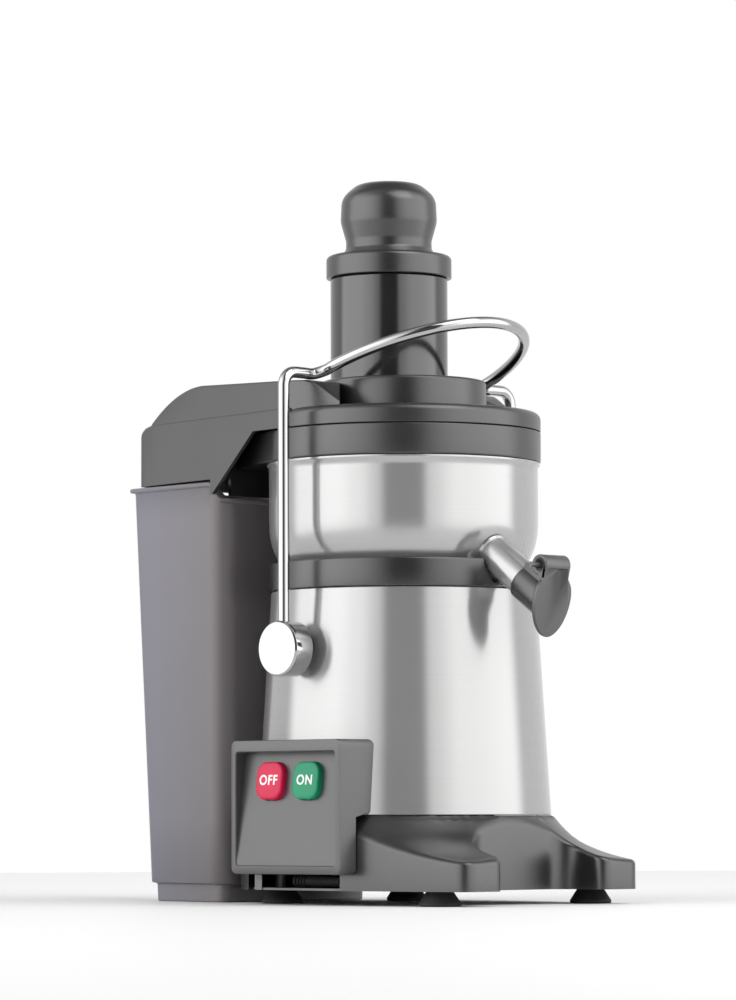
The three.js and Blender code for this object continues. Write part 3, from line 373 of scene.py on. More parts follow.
def sheet(corners, rounding, height, bottom, spacing=3.5):
    """Solid with a vertical wall round an outline and a top that follows height(x, y).

    The top edge is rounded over. The inside of the top is a triangulated grid.
    """
    steps = 5
    rings = [flat_ring(fine_outline(corners), bottom)]
    for step in range(steps + 1):
        angle = step / steps * math.pi / 2
        inset = rounding * (1 - math.cos(angle))
        drop = rounding * (1 - math.sin(angle))
        points = fine_outline(corners, inset)
        rings.append([Vector((p[0], p[1], height(p[0], p[1]) - drop)) for p in points])
    verts, faces = loft(rings, cap_last=False)
    edge = [Vector((v.x, v.y)) for v in rings[-1]]
    low = Vector((min(p.x for p in edge), min(p.y for p in edge)))
    high = Vector((max(p.x for p in edge), max(p.y for p in edge)))
    inner = outline(corners, rounding + spacing * 0.6)
    grid = []
    for i in range(int((high.x - low.x) / spacing) + 1):
        for j in range(int((high.y - low.y) / spacing) + 1):
            point = Vector((low.x + (i + 0.5) * spacing, low.y + (j + 0.5) * spacing))
            if inside(point, inner):
                grid.append(point)
    ring_faces = [list(range(len(edge)))]
    points, _, triangles, origins, _, _ = delaunay_2d_cdt(edge + grid, [], ring_faces, 1, 1e-5)
    top = []
    for point, origin in zip(points, origins):
        if origin and origin[0] < len(edge):
            top.append(rings[-1][origin[0]])
        else:
            top.append(Vector((point.x, point.y, height(point.x, point.y))))
    return merge((verts, faces), (top, [list(face) for face in triangles]))


def inside(point, loop):
    found = False
    for i, a in enumerate(loop):
        b = loop[i - 1]
        if (a[1] > point.y) != (b[1] > point.y):
            if point.x < (b[0] - a[0]) * (point.y - a[1]) / (b[1] - a[1]) + a[0]:
                found = not found
    return found


def between(value, stops):
    """Straight-line interpolation through sorted (value, result) stops."""
    if value <= stops[0][0]:
        return stops[0][1]
    for (low, a), (high, b) in zip(stops, stops[1:]):
        if value <= high:
            return a + (b - a) * (value - low) / (high - low)
    return stops[-1][1]


# ------------------------------------------------------------------ materials

def node(tree, kind, **inputs):
    """A new node with some of its inputs set; an underscore stands for a space in an input's name."""
    made = tree.nodes.new(kind)
    for key, value in inputs.items():
        made.inputs[key.replace("_", " ")].default_value = value
    return made


def math_node(tree, operation, first, second):
    """Output of a Math node on two values, each another node's output or a number."""
    made = tree.nodes.new("ShaderNodeMath")
    made.operation = operation
    for socket, value in zip(made.inputs, (first, second)):
        if isinstance(value, (int, float)):
            socket.default_value = value
        else:
            tree.links.new(value, socket)
    return made.outputs[0]


def spread_node(tree, value, **limits):
    """Map Range node on a value."""
    made = node(tree, "ShaderNodeMapRange", **limits)
    tree.links.new(value, made.inputs["Value"])
    return made


def object_place(tree):
    """X, Y and Z of the shaded point in the frame, in metres."""
    split = tree.nodes.new("ShaderNodeSeparateXYZ")
    tree.links.new(tree.nodes.new("ShaderNodeTexCoord").outputs["Object"], split.inputs[0])
    return split.outputs


def new_material(name, color, roughness, metallic=0.0):
    material = bpy.data.materials.new(name)
    material.use_nodes = True
    shader = material.node_tree.nodes["Principled BSDF"]
    shader.inputs["Base Color"].default_value = (*color, 1)
    shader.inputs["Roughness"].default_value = roughness
    shader.inputs["Metallic"].default_value = metallic
    return material, material.node_tree, shader


def vary(tree, shader, socket, texture, low, high):
    """Sets a socket from a texture's value, between low and high."""
    spread = spread_node(tree, texture.outputs[0], To_Min=low, To_Max=high)
    tree.links.new(spread.outputs[0], shader.inputs[socket])


def noise(tree, scale, detail=3.0, vector=None):
    texture = node(tree, "ShaderNodeTexNoise", Scale=scale, Detail=detail)
    if vector is None:
        vector = tree.nodes.new("ShaderNodeTexCoord").outputs["Object"]
    tree.links.new(vector, texture.inputs["Vector"])
    return texture


def bump(tree, shader, texture, strength, distance):
    made = node(tree, "ShaderNodeBump", Strength=strength, Distance=distance)
    tree.links.new(texture.outputs[0], made.inputs["Height"])
    tree.links.new(made.outputs[0], shader.inputs["Normal"])


def vary_color(tree, shader, texture, dark, light):
    """Mixes the base colour between two colours by a texture's value."""
    ramp = tree.nodes.new("ShaderNodeValToRGB")
    ramp.color_ramp.elements[0].position = 0.3
    ramp.color_ramp.elements[1].position = 0.7
    ramp.color_ramp.elements[0].color = (*dark, 1)
    ramp.color_ramp.elements[1].color = (*light, 1)
    tree.links.new(texture.outputs[0], ramp.inputs[0])
    tree.links.new(ramp.outputs[0], shader.inputs["Base Color"])


def moulded(name, color, roughness, grain=0.12, coat=0.0, ior=1.85):
    """Moulded plastic: a fine spark-eroded grain, and soft patches of wear in its gloss."""
    material, tree, shader = new_material(name, color, roughness)
    shader.inputs["Coat Weight"].default_value = coat
    shader.inputs["Coat Roughness"].default_value = 0.06
    shader.inputs["IOR"].default_value = ior
    patches = noise(tree, 28.0)
    vary(tree, shader, "Roughness", patches, roughness - 0.05, roughness + 0.06)
    vary_color(tree, shader, patches, [c * 0.92 for c in color], [c * 1.08 for c in color])
    bump(tree, shader, noise(tree, 2600.0, 2.0), grain, 0.0002)
    return material


def brushed(name, color, roughness):
    """Steel with fine brush lines that run round the spin axis."""
    material, tree, shader = new_material(name, color, roughness, 0.67)
    shader.inputs["Anisotropic"].default_value = 0.75
    shader.inputs["Anisotropic Rotation"].default_value = 0.25
    place = object_place(tree)
    behind_axis = math_node(tree, "SUBTRACT", place["Y"], AXIS_Y)
    angle = math_node(tree, "ARCTAN2", behind_axis, place["X"])
    join = tree.nodes.new("ShaderNodeCombineXYZ")
    tree.links.new(math_node(tree, "MULTIPLY", angle, 1.2), join.inputs["X"])
    tree.links.new(math_node(tree, "MULTIPLY", place["Z"], 2400.0), join.inputs["Z"])
    lines = noise(tree, 1.0, 4.0, join.outputs[0])
    vary(tree, shader, "Roughness", lines, roughness - 0.03, roughness + 0.04)
    vary_color(tree, shader, lines, [c * 0.97 for c in color], [min(c * 1.03, 1) for c in color])
    bump(tree, shader, lines, 0.03, 0.00008)
    tangent = tree.nodes.new("ShaderNodeTangent")
    tangent.direction_type = "RADIAL"
    tangent.axis = "Z"
    tree.links.new(tangent.outputs[0], shader.inputs["Tangent"])
    return material


def polished(name, color, roughness):
    material, tree, shader = new_material(name, color, roughness, 1.0)
    smears = noise(tree, 60.0)
    vary(tree, shader, "Roughness", smears, roughness * 0.7, roughness * 1.5)
    bump(tree, shader, noise(tree, 900.0), 0.02, 0.0001)
    return material


def smoked(name):
    """Smoke-tinted plastic with painted shade: the wall is painted darker and warmer towards the front, next to
    the steel body, where shade falls.
    """
    material, tree, shader = new_material(name, (0.16, 0.155, 0.18), 0.36)
    shader.inputs["Subsurface Weight"].default_value = 0.15
    shader.inputs["Subsurface Radius"].default_value = (0.02, 0.018, 0.022)
    shader.inputs["Subsurface Scale"].default_value = 0.5
    low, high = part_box("pulp_container")
    # painted shade: this ramp darkens and warms the container towards its front wall beside the body
    depth = spread_node(tree, object_place(tree)["Y"], From_Min=low[1], From_Max=high[1])
    ramp = tree.nodes.new("ShaderNodeValToRGB")
    ramp.color_ramp.elements[0].color = (0.15, 0.135, 0.14, 1)
    ramp.color_ramp.elements[1].color = (0.165, 0.16, 0.19, 1)
    ramp.color_ramp.elements[1].position = 0.75
    tree.links.new(depth.outputs[0], ramp.inputs[0])
    tree.links.new(ramp.outputs[0], shader.inputs["Base Color"])
    vary(tree, shader, "Roughness", noise(tree, 30.0), 0.3, 0.42)
    bump(tree, shader, noise(tree, 1500.0, 2.0), 0.08, 0.0002)
    return material


def rubbery(name):
    material, tree, shader = new_material(name, (0.014, 0.014, 0.014), 0.75)
    vary(tree, shader, "Roughness", noise(tree, 80.0), 0.62, 0.85)
    bump(tree, shader, noise(tree, 1800.0, 2.0), 0.2, 0.0002)
    return material


BLACK = moulded("black_moulded", (0.007, 0.007, 0.0075), 0.27)
LID_BLACK = moulded("lid_black", (0.008, 0.008, 0.0085), 0.29, 0.14)
TUBE_BLACK = moulded("tube_black", (0.008, 0.008, 0.009), 0.13, 0.03)
GREY = moulded("grey_moulded", (0.045, 0.045, 0.047), 0.38, 0.16)
RED = moulded("red_button", (0.60, 0.006, 0.06), 0.34, 0.03, ior=1.4)
GREEN = moulded("green_button", (0.006, 0.27, 0.13), 0.34, 0.03, ior=1.4)
WHITE = moulded("white_ink", (0.86, 0.86, 0.86), 0.45, 0.02)
INNER = moulded("inner_plastic", (0.12, 0.12, 0.12), 0.5)
SMOKE = smoked("smoke_plastic")
STEEL = brushed("brushed_steel", (0.43, 0.43, 0.428), 0.2)
CHROME = polished("polished_chrome", (0.45, 0.45, 0.455), 0.07)
PLAIN = polished("plain_steel", (0.16, 0.16, 0.165), 0.42)
ALLOY = polished("cast_alloy", (0.55, 0.56, 0.57), 0.45)
COPPER = polished("copper_wire", (0.6, 0.25, 0.09), 0.35)
RUBBER = rubbery("rubber")

FINISH = {
    "black_plastic": BLACK, "gloss_black": TUBE_BLACK, "grey_plastic": GREY, "smoke_plastic": SMOKE,
    "red_button": RED, "green_button": GREEN, "rubber": RUBBER, "brushed_steel": STEEL, "chrome": CHROME,
    "plain_steel": PLAIN, "cast_alloy": ALLOY, "copper": COPPER, "inner_plastic": INNER,
}
for entry in frame["record"]["subparts"]:
    carried = frame["nodes"][entry["node"]]
    carried.data.materials.clear()
    carried.data.materials.append(FINISH[entry["material_slot"]])


# ------------------------------------------------------------------ pusher and feed tube

FEED_Y = (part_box("feed_tube")[0][1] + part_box("feed_tube")[1][1]) / 2 / MM - AXIS_Y / MM


def at_feed(shape):
    return shifted(shape, (0, FEED_Y, 0))


pusher_profile = fillet([
    (36.5, 330), (36.5, 436.8), (44, 436.8, 0.8), (44, 452.6, 3.4), (33.2, 452.9, 1.2), (30.2, 457.5, 3.5),
    (30.0, 463, 9), (33.9, 477, 16), (33.1, 494, 13), (22, 503.6, 15), (7, 505, 20), (0, 505),
], 8)
pusher_inside = [(0, 501), (20, 499), (28, 490), (27, 476), (27, 446), (33.5, 430), (33.5, 330), (36.5, 330)]
piece("pusher_body", at_feed(lathe(pusher_profile + pusher_inside)), LID_BLACK, "pusher",
      "pusher", sharp=50)

tube_profile = fillet([
    (37.5, 322), (41.15, 322, 0.8), (41.15, 436.5, 1.1), (37.5, 436.5, 0.8), (37.5, 322),
], 4)
piece("feed_tube_wall", at_feed(lathe(tube_profile)), TUBE_BLACK, ROOT, "feed_tube")

# ------------------------------------------------------------------ lid


def dome_height(y, lower=0.0):
    """Height of the lid's dome along its length: a ramp, a nearly level top, a rear that curves down."""
    if y < 2:
        return between(y, [(-27, LID_TOP + 2.5), (-3, 358), (2, 359)]) - lower
    level = between(y, [(2, 359), (CURVE_START, DOME_PEAK)])
    if y > CURVE_START:
        share = min((y - CURVE_START) / (DOME_REAR - CURVE_START), 1)
        level = LID_TOP + (DOME_PEAK - LID_TOP) * (1 - share ** 2)
    return level - lower


def chute_shoulder(inset, top, steps=6):
    """Rings of the chute's top edge: sharp along its sides, well rounded round the rear corners."""
    sharp_edge = fine_outline(CHUTE, inset)
    round_edge = fine_outline(CHUTE, inset + CHUTE_ROUNDING - 0.1)
    rings = []
    for step in range(steps + 1):
        angle = step / steps * math.pi / 2
        ring = []
        for wall, drawn_in in zip(sharp_edge, round_edge):
            radius = between(wall[1], [(186, 0.8), (200, CHUTE_ROUNDING)])
            point = wall.lerp(drawn_in, radius / CHUTE_ROUNDING * (1 - math.cos(angle)))
            ring.append(Vector((point.x, point.y, top - radius * (1 - math.sin(angle)))))
        rings.append(ring)
    return rings


def lid_shape(inset):
    """Plate, collar, chute and dome of the lid, drawn in by inset."""
    edge = LID_RADIUS - inset
    top = LID_TOP - inset
    bottom = RIM_TOP + 0.3 if inset == 0 else RIM_TOP - 10
    plate = fillet([(0, bottom), (edge, bottom, 0.4), (edge, top, 5.2), (0, top)], 8)
    collar_edge = COLLAR_RADIUS - inset
    collar = fillet([(0, LID_TOP - 8), (collar_edge, LID_TOP - 8),
                     (collar_edge - 0.5, COLLAR_TOP - inset, 2.4), (0, COLLAR_TOP - inset)], 6)
    chute_low = CHUTE_TIP if inset == 0 else CHUTE_TIP - 20
    rings = [flat_ring(fine_outline(CHUTE, inset), chute_low)] + chute_shoulder(inset, top)
    dome = sheet(inset_corners(DOME, inset), 1.6, lambda x, y: dome_height(y, inset), LID_TOP - 8)
    return solid(lathe(plate)), solid(lathe(collar)), solid(loft(rings)), solid(dome)


def lid_piece():
    plate, collar, chute, dome = lid_shape(0)
    below = solid(side_prism([
        (-10, 280), (220, 280), (220, CHUTE_BOTTOM), (MOUTH_REAR + 2, CHUTE_BOTTOM),
        (MOUTH_REAR + 2, CHUTE_TIP), (MOUTH_REAR, CHUTE_TIP), (MOUTH_FRONT, RIM_TOP + 0.3), (-10, RIM_TOP + 0.3),
    ], -130, 130))
    body = unite(plate, cut(chute, below), dome, collar)
    for inner in lid_shape(LID_WALL):
        cut(body, inner)
    hole = solid(at_feed(lathe([(0, 300), (41.5, 300), (41.5, 380), (0, 380)])))
    return cut(body, hole)


piece("lid", lid_piece(), LID_BLACK, ROOT, "lid_cover", sharp=40)

# ------------------------------------------------------------------ rim ring


def rim_piece():
    ring = solid(lathe(fillet([(0, RIM_BOTTOM), (LID_RADIUS, RIM_BOTTOM, 1.2), (LID_RADIUS, RING_TOP, 0.8),
                               (0, RING_TOP)], 4)))
    body = unite(ring, solid(prism(outline(TROUGH), RIM_BOTTOM, RING_TOP)))
    mouth = solid(lathe([(0, 300), (RIM_BORE, 300), (RIM_BORE, 330), (0, 330)]))
    trough = solid(prism(TROUGH_INSIDE, TROUGH_FLOOR, 330))
    rear = max(y for _, y, _ in TROUGH)
    deflector = solid(block((-DEFLECTOR_HALF, rear - DEFLECTOR_WALL, DEFLECTOR_BOTTOM),
                            (DEFLECTOR_HALF, rear, TROUGH_FLOOR)))
    return unite(cut(body, mouth, trough), deflector)


piece("rim_ring", rim_piece(), LID_BLACK, ROOT, "bowl_rim_ring", sharp=40)

# ------------------------------------------------------------------ bowl and spout

def down_spout(distance):
    return SPOUT_ROOT + SPOUT_DOWN * distance


def smooth_min(a, b, reach):
    """The smaller of two values, blended where they are within reach of each other."""
    mix = max(reach - abs(a - b), 0) / reach
    return min(a, b) - mix * mix * reach / 4


def bowl_point(radius, z, angle, inset=0.0):
    """Point of the bowl's wall, drawn in where the spout's flat face cuts the round."""
    ahead = -math.sin(angle)
    reach = radius
    if ahead > 0.2:
        flat = (-SPOUT_ROOT.y + math.tan(SPOUT_ANGLE) * (z - SPOUT_ROOT.z) - inset) / ahead
        reach = smooth_min(radius, flat, 5)
    return Vector((reach * math.cos(angle), reach * math.sin(angle), z))


def bowl_shape():
    """Steel bowl: straight sides that curve in smoothly above the seat ring."""
    steps = 16
    outside = [Vector((85.2, BOWL_BOTTOM)), Vector((86, 224.5)), Vector((86.2, 228))]
    for step in range(steps + 1):
        z = CURVE_BOTTOM + (CURVE_TOP - CURVE_BOTTOM) * step / steps
        share = (CURVE_TOP - z) / (CURVE_TOP - CURVE_BOTTOM)
        outside.append(Vector((BOWL_RADIUS - CURVE_DEPTH * share ** 3, z)))
    outside += [Vector((BOWL_RADIUS, CURVE_TOP + 4 * step)) for step in range(1, 9)]
    lip = [(95.2, 303.4), (95.4, 304.2), (95.2, 305.1), (93.2, 305.2), (92.8, 303.0)]
    inside_wall = [(radius - BOWL_WALL, z) for radius, z in reversed(outside)]
    floor = [(84.0, BOWL_BOTTOM + BOWL_WALL), (15, BOWL_BOTTOM + BOWL_WALL), (15, BOWL_BOTTOM)]
    profile = [(15, BOWL_BOTTOM)] + [tuple(p) for p in outside] + lip + inside_wall[:-1] + floor
    rings = []
    for i, (radius, z) in enumerate(profile):
        inset = BOWL_WALL if i > len(outside) + len(lip) else 0
        rings.append([bowl_point(radius, z, 2 * math.pi * k / BOWL_ROUND, inset) for k in range(BOWL_ROUND)])
    return loft(rings, False, False)


piece("bowl_shell", bowl_shape(), STEEL, ROOT, "bowl", sharp=50)

spout_profile = fillet([
    (SPOUT_RADIUS + 1.2, -0.1), (SPOUT_RADIUS + 0.7, 0.9, 0.5), (SPOUT_RADIUS, 1.4, 0.4),
    (SPOUT_RADIUS, SPOUT_LENGTH, 0.4), (SPOUT_RADIUS - 1.2, SPOUT_LENGTH, 0.4), (SPOUT_RADIUS - 1.2, -0.1),
], 4)
piece("spout_pipe", turned_along(SPOUT_ROOT, SPOUT_DOWN, spout_profile + [spout_profile[0]], 96), STEEL, ROOT,
      "spout_tube")


def at_hinge(shape):
    verts, faces = shape
    turn = Matrix.Rotation(FLAP_TILT, 3, "X")
    return [HINGE + turn @ v for v in verts], faces


def across_hinge(radius, half, segments):
    """Rod along the hinge line."""
    return rod(radius, HINGE - Vector((half, 0, 0)), HINGE + Vector((half, 0, 0)), segments)


def collar_piece():
    """Barrel on the end of the spout, cut off under the flap, with a pad and a lug for the hinge pin."""
    barrel = fillet([(0, SPOUT_COLLAR_START), (SPOUT_COLLAR_RADIUS, SPOUT_COLLAR_START, 1.4),
                     (SPOUT_COLLAR_RADIUS, 90), (0, 90)], 6)
    body = solid(turned_along(SPOUT_ROOT, SPOUT_DOWN, barrel, 128))
    pad_verts, pad_faces = block((-LUG_HALF, -60, 4), (LUG_HALF, -SPOUT_COLLAR_START - 0.6, 14.6))
    turn = Matrix.Rotation(SPOUT_ANGLE, 3, "X")
    pad = solid(([SPOUT_ROOT + turn @ v for v in pad_verts], pad_faces))
    body = unite(body, pad)
    cut(body, solid(at_hinge(block((-60, -160, -120), (60, -3.5, 90)))))
    lug = unite(solid(across_hinge(3.4, LUG_HALF, 48)),
                solid(side_prism([(HINGE.y, HINGE.z - 3.3), (-128, 216), (-120, 226), (-131, 229.5),
                                  (HINGE.y, HINGE.z + 3.3)], -LUG_HALF, LUG_HALF)))
    unite(body, lug)
    return cut(body, solid(rod(SPOUT_RADIUS + 0.3, down_spout(-10), down_spout(100), 96)),
               solid(across_hinge(HINGE_PIN_BORE, 20, 24)))


piece("spout_end", collar_piece(), BLACK, ROOT, "spout_collar", sharp=40)


def flap_outline(inset, steps=28):
    """Square shoulders under the hinge, then a half ellipse that narrows a little faster, in x and z."""
    half = [(HOOD_HALF - inset, -inset), (HOOD_HALF - inset, -8.2)]
    start = Vector((HOOD_HALF - inset, -9))
    bend = Vector((FLAP_WIDEST - 0.5 - inset, -12))
    end = Vector((FLAP_WIDEST - inset, -FLAP_WIDEST_DROP))
    for k in range(1, 7):
        t = k / 6
        point = start.lerp(bend, t).lerp(bend.lerp(end, t), t)
        half.append((point.x, point.y))
    for k in range(1, steps + 1):
        angle = k / steps * math.pi / 2
        width = math.cos(angle) ** 1.12
        drop = FLAP_WIDEST_DROP + (FLAP_REACH - inset) * math.sin(angle)
        half.append(((FLAP_WIDEST - inset) * width, -drop))
    return half + [(-x, z) for x, z in reversed(half[:-1])]


def flap_piece():
    """Rounded plate that hangs from a hood over the collar's lug."""
    rings = []
    for y, inset in [(-3.8, 0.6), (-3.9, 0.15), (-4.2, 0), (-6.2, 0), (-6.65, 0.2), (-6.8, 0.7)]:
        rings.append([Vector((x, y, z)) for x, z in flap_outline(inset)])
    body = solid(at_hinge(loft(rings)))
    profile = fillet([(0, HOOD_HALF), (HOOD_RADIUS, HOOD_HALF, 0.8), (HOOD_RADIUS, -HOOD_HALF, 0.8),
                      (0, -HOOD_HALF)], 4)
    hood = solid(turned_along((0, 0, 0), (1, 0, 0), profile, SMALL_ROUND))
    cut(hood, solid(rod(5.4, (-EAR_HALF, 0, 0), (EAR_HALF, 0, 0), 48)),
        solid(block((-EAR_HALF, 0, -20), (EAR_HALF, 20, 20))),
        solid(block((-EAR_HALF, -20, -20), (EAR_HALF, 20, -1))))
    for side in (-1, 1):
        low, high = sorted((side * EAR_HALF, side * HOOD_HALF))
        unite(hood, solid(block((low, -6.4, -10), (high, -0.5, 0))))
    hood.data.transform(Matrix.Translation(HINGE) @ Matrix.Rotation(FLAP_TILT, 4, "X"))
    return cut(unite(body, hood), solid(across_hinge(HINGE_PIN_BORE, 20, 24)))


piece("flap", flap_piece(), GREY, "drip_flap", "drip_flap", sharp=40)

# ------------------------------------------------------------------ seat ring and housing


def seat_piece():
    """Ring the bowl sits in, with a floor, cut out for the spout."""
    profile = fillet([
        (12, SEAT_BOTTOM), (SEAT_RADIUS, SEAT_BOTTOM, 0.8), (SEAT_RADIUS, SEAT_TOP, 1.4),
        (SEAT_BORE, SEAT_TOP, 0.5), (SEAT_BORE, 222), (12, 222), (12, SEAT_BOTTOM),
    ], 4)
    body = solid(lathe(profile))
    return cut(body, solid(rod(15, down_spout(-20), down_spout(60), 96)),
               solid(block((-15, -98, 231.6), (15, -80, 256))))


piece("seat_ring", seat_piece(), BLACK, ROOT, "bowl_seat_ring", sharp=40)


def housing_radius(z):
    return between(z, HOUSING_CONE)


def housing_piece():
    """Thin steel cone with softened edges, bored for the pivot bushes and open behind the switch box."""
    low, high, steps = HOUSING_BOTTOM + 0.5, HOUSING_TOP - 0.5, 24
    outside = [(housing_radius(61.2) - 0.5, HOUSING_BOTTOM)]
    outside += [(housing_radius(z), z) for z in [low + k * (high - low) / steps for k in range(steps + 1)]]
    outside += [(housing_radius(216) - 0.5, HOUSING_TOP)]
    inside_wall = [(housing_radius(216) - HOUSING_WALL, HOUSING_TOP),
                   (housing_radius(61) - HOUSING_WALL, HOUSING_BOTTOM), outside[0]]
    body = solid(lathe(outside + inside_wall, 240))
    across = Vector((120, 0, 0))
    return cut(body, solid(rod(7.5, PIVOT - across, PIVOT + across)),
               solid(block((-120, -32, 70), (-60, 32, 100))))


piece("housing", housing_piece(), STEEL, ROOT, "motor_housing")

# ------------------------------------------------------------------ base, feet and gland

BASE = mirrored(BASE_HALF)


def base_height(x, y):
    return between(math.hypot(x, y), BASE_STOPS)


def base_piece():
    """Skirted moulding with two front legs, hollow, with a bore for the motor and a notch for the gland."""
    body = solid(sheet(BASE, 3.4, base_height, BASE_BOTTOM))
    inner = solid(sheet(inset_corners(BASE, BASE_WALL), 1, lambda x, y: base_height(x, y) - BASE_WALL, 5))
    bore = solid(lathe([(0, 40), (BASE_BORE, 40), (BASE_BORE, 70), (0, 70)]))
    return cut(body, inner, bore, solid(block(NOTCH_LOW, NOTCH_HIGH)))


piece("base", base_piece(), LID_BLACK, ROOT, "base_moulding", sharp=40)

foot_profile = fillet([(0, 0), (14.5, 0, 1.2), (14.2, 2.2, 1), (9.4, 9.7, 0.6), (0, 9.7)], 5)
for place, (x, y) in FEET.items():
    foot = shifted(lathe(foot_profile, SMALL_ROUND), (x, y, 0))
    piece(f"rubber_foot_{place}", foot, RUBBER, ROOT, f"foot_{place}")

gland_profile = [(0, -30), (3.4, -30), (3.6, -29.6), (3.6, 3)]
for rib in range(4):
    start = 3 + rib * 3
    gland_profile += [(4.1, start), (4.3, start + 0.3), (4.3, start + 1.5), (4.1, start + 1.8),
                      (3.3, start + 1.9), (3.3, start + 2.8)]
gland_profile += [(4.1, 14.9), (0, 15)]
verts, faces = lathe(gland_profile, 48)
piece("ribbed_gland", ([GLAND + Vector((v.x, v.z, v.y)) for v in verts], faces), RUBBER, ROOT,
      "cable_gland")

# ------------------------------------------------------------------ bail, knobs and bushes


def bail_points():
    """Centre line: leg, bend, a short level run, then a half ellipse rising forwards."""
    half = [Vector((-LEG_X, PIVOT.y, z)) for z in (PIVOT.z - 5, 220, 270, 320, ROD_TOP - BEND - 4)]
    for k in range(9):
        angle = k / 8 * math.pi / 2
        half.append(Vector((-LEG_X + BEND * (1 - math.cos(angle)), PIVOT.y,
                            ROD_TOP - BEND + BEND * math.sin(angle))))
    half += [Vector((-BOW_HALF - run, PIVOT.y, ROD_TOP)) for run in (14, 5)]
    bow = []
    steps = 48
    for k in range(steps + 1):
        angle = math.radians(4) + k / steps * (math.pi - math.radians(8))
        ahead = math.sin(angle)
        bow.append(Vector((-BOW_HALF * math.cos(angle), PIVOT.y - REACH * ahead, ROD_TOP + RISE * ahead)))
    other = [Vector((-p.x, p.y, p.z)) for p in reversed(half)]
    return half + bow + other


def tube_along(points, radius, sides=32):
    """Round bar through points, with a frame carried along so that it doesn't twist."""
    rings = []
    normal = Vector((0, 1, 0))
    for i, point in enumerate(points):
        ahead = points[min(i + 1, len(points) - 1)] - points[max(i - 1, 0)]
        tangent = ahead.normalized()
        normal = (normal - tangent * normal.dot(tangent)).normalized()
        across = tangent.cross(normal)
        rings.append([point + radius * (math.cos(2 * math.pi * k / sides) * normal
                                        + math.sin(2 * math.pi * k / sides) * across) for k in range(sides)])
    return loft(rings)


def smoothed(points, spacing=2.2):
    """Points along a Catmull-Rom curve through the given ones."""
    fine = []
    for i in range(len(points) - 1):
        p0, p1 = points[max(i - 1, 0)], points[i]
        p2, p3 = points[i + 1], points[min(i + 2, len(points) - 1)]
        steps = max(1, round((p2 - p1).length / spacing))
        for k in range(steps):
            t = k / steps
            fine.append(0.5 * (2 * p1 + (p2 - p0) * t + (2 * p0 - 5 * p1 + 4 * p2 - p3) * t * t
                               + (3 * p1 - p0 - 3 * p2 + p3) * t ** 3))
    return fine + [points[-1]]


piece("bail_bar", tube_along(smoothed(bail_points()), ROD_RADIUS), CHROME, "bail", "bail_rod",
      sharp=60)

knob_profile = [(0, 107.8), (PIN_RADIUS, 107.8)] + fillet([
    (PIN_RADIUS, KNOB_INNER), (KNOB_RADIUS - 0.8, KNOB_INNER, 0.4), (KNOB_RADIUS, KNOB_INNER + 0.9, 0.4),
    (KNOB_RADIUS, KNOB_OUTER - 1.2, 0.5), (KNOB_RADIUS - 1.2, KNOB_OUTER, 0.5), (0, KNOB_OUTER),
], 4)
bush_profile = fillet([
    (SLEEVE_RADIUS, 84), (SLEEVE_RADIUS, 94), (BUSH_RADIUS, 94), (BUSH_RADIUS, 101.7, 1.0), (PIN_RADIUS, 101.7),
    (PIN_RADIUS, 84), (SLEEVE_RADIUS, 84),
], 4)
neck_profile = [(PIN_RADIUS, 84), (SLEEVE_RADIUS, 84), (SLEEVE_RADIUS, 99), (PIN_RADIUS, 99), (PIN_RADIUS, 84)]
cone_profile = [(0, 150), (housing_radius(150) + 0.2, 150), (housing_radius(200) + 0.2, 200), (0, 200)]

for place, side in (("left", -1), ("right", 1)):
    out = (side, 0, 0)
    centre = Vector((0, PIVOT.y, PIVOT.z))
    knob = solid(turned_along(centre, out, knob_profile, 128))
    leg = Vector((side * LEG_X, PIVOT.y, PIVOT.z))
    cut(knob, solid(rod(ROD_RADIUS + 0.25, leg - Vector((0, 0, 6)), leg + Vector((0, 0, 40)), 48)))
    piece(f"knob_{place}", knob, CHROME, "bail", f"pivot_knob_{place}", sharp=30)
    bush = solid(turned_along(centre, out, bush_profile, 96))
    cone = solid(lathe(cone_profile))
    neck = solid(turned_along(centre, out, neck_profile, 96))
    piece(f"bush_{place}", unite(cut(bush, cone), neck), BLACK, ROOT, f"pivot_bush_{place}")

# ------------------------------------------------------------------ switch box and buttons


def box_outline(inset, steps=6, sides=None, corner=4):
    """Corners of the box's face in (y, z), split so that each side has points along it."""
    left, right, low, high = sides or (inset, inset, inset, inset)
    y0, y1 = BOX["front"] + left, BOX["rear"] - right
    z0, z1 = BOX["bottom"] + low, BOX["top"] - high
    corners = [(y0, z0, corner), (y1, z0, corner), (y1, z1, corner), (y0, z1, corner)]
    rounded = fillet(corners, steps, closed=True)
    points = []
    for i, point in enumerate(rounded):
        following = rounded[(i + 1) % len(rounded)]
        parts = 24 if (following - point).length > 20 else 1
        points += [point.lerp(following, k / parts) for k in range(parts)]
    return points


def behind_box(y, z):
    """Where the box's walls end: at the housing above, and at the side of the base below."""
    if z > BOX_OVER_BASE:
        return -math.sqrt((housing_radius(z) + 0.4) ** 2 - y ** 2)
    return -(BASE_SIDE - BASE_SIDE_TAPER * max(BASE_TAPER_START - y, 0))


def floor_x(z):
    """Where the box's tilted floor lies at a height."""
    return -BOX["face"] + FLOOR_DEPTH * (z - FLOOR_LOW) / (FLOOR_HIGH - FLOOR_LOW)


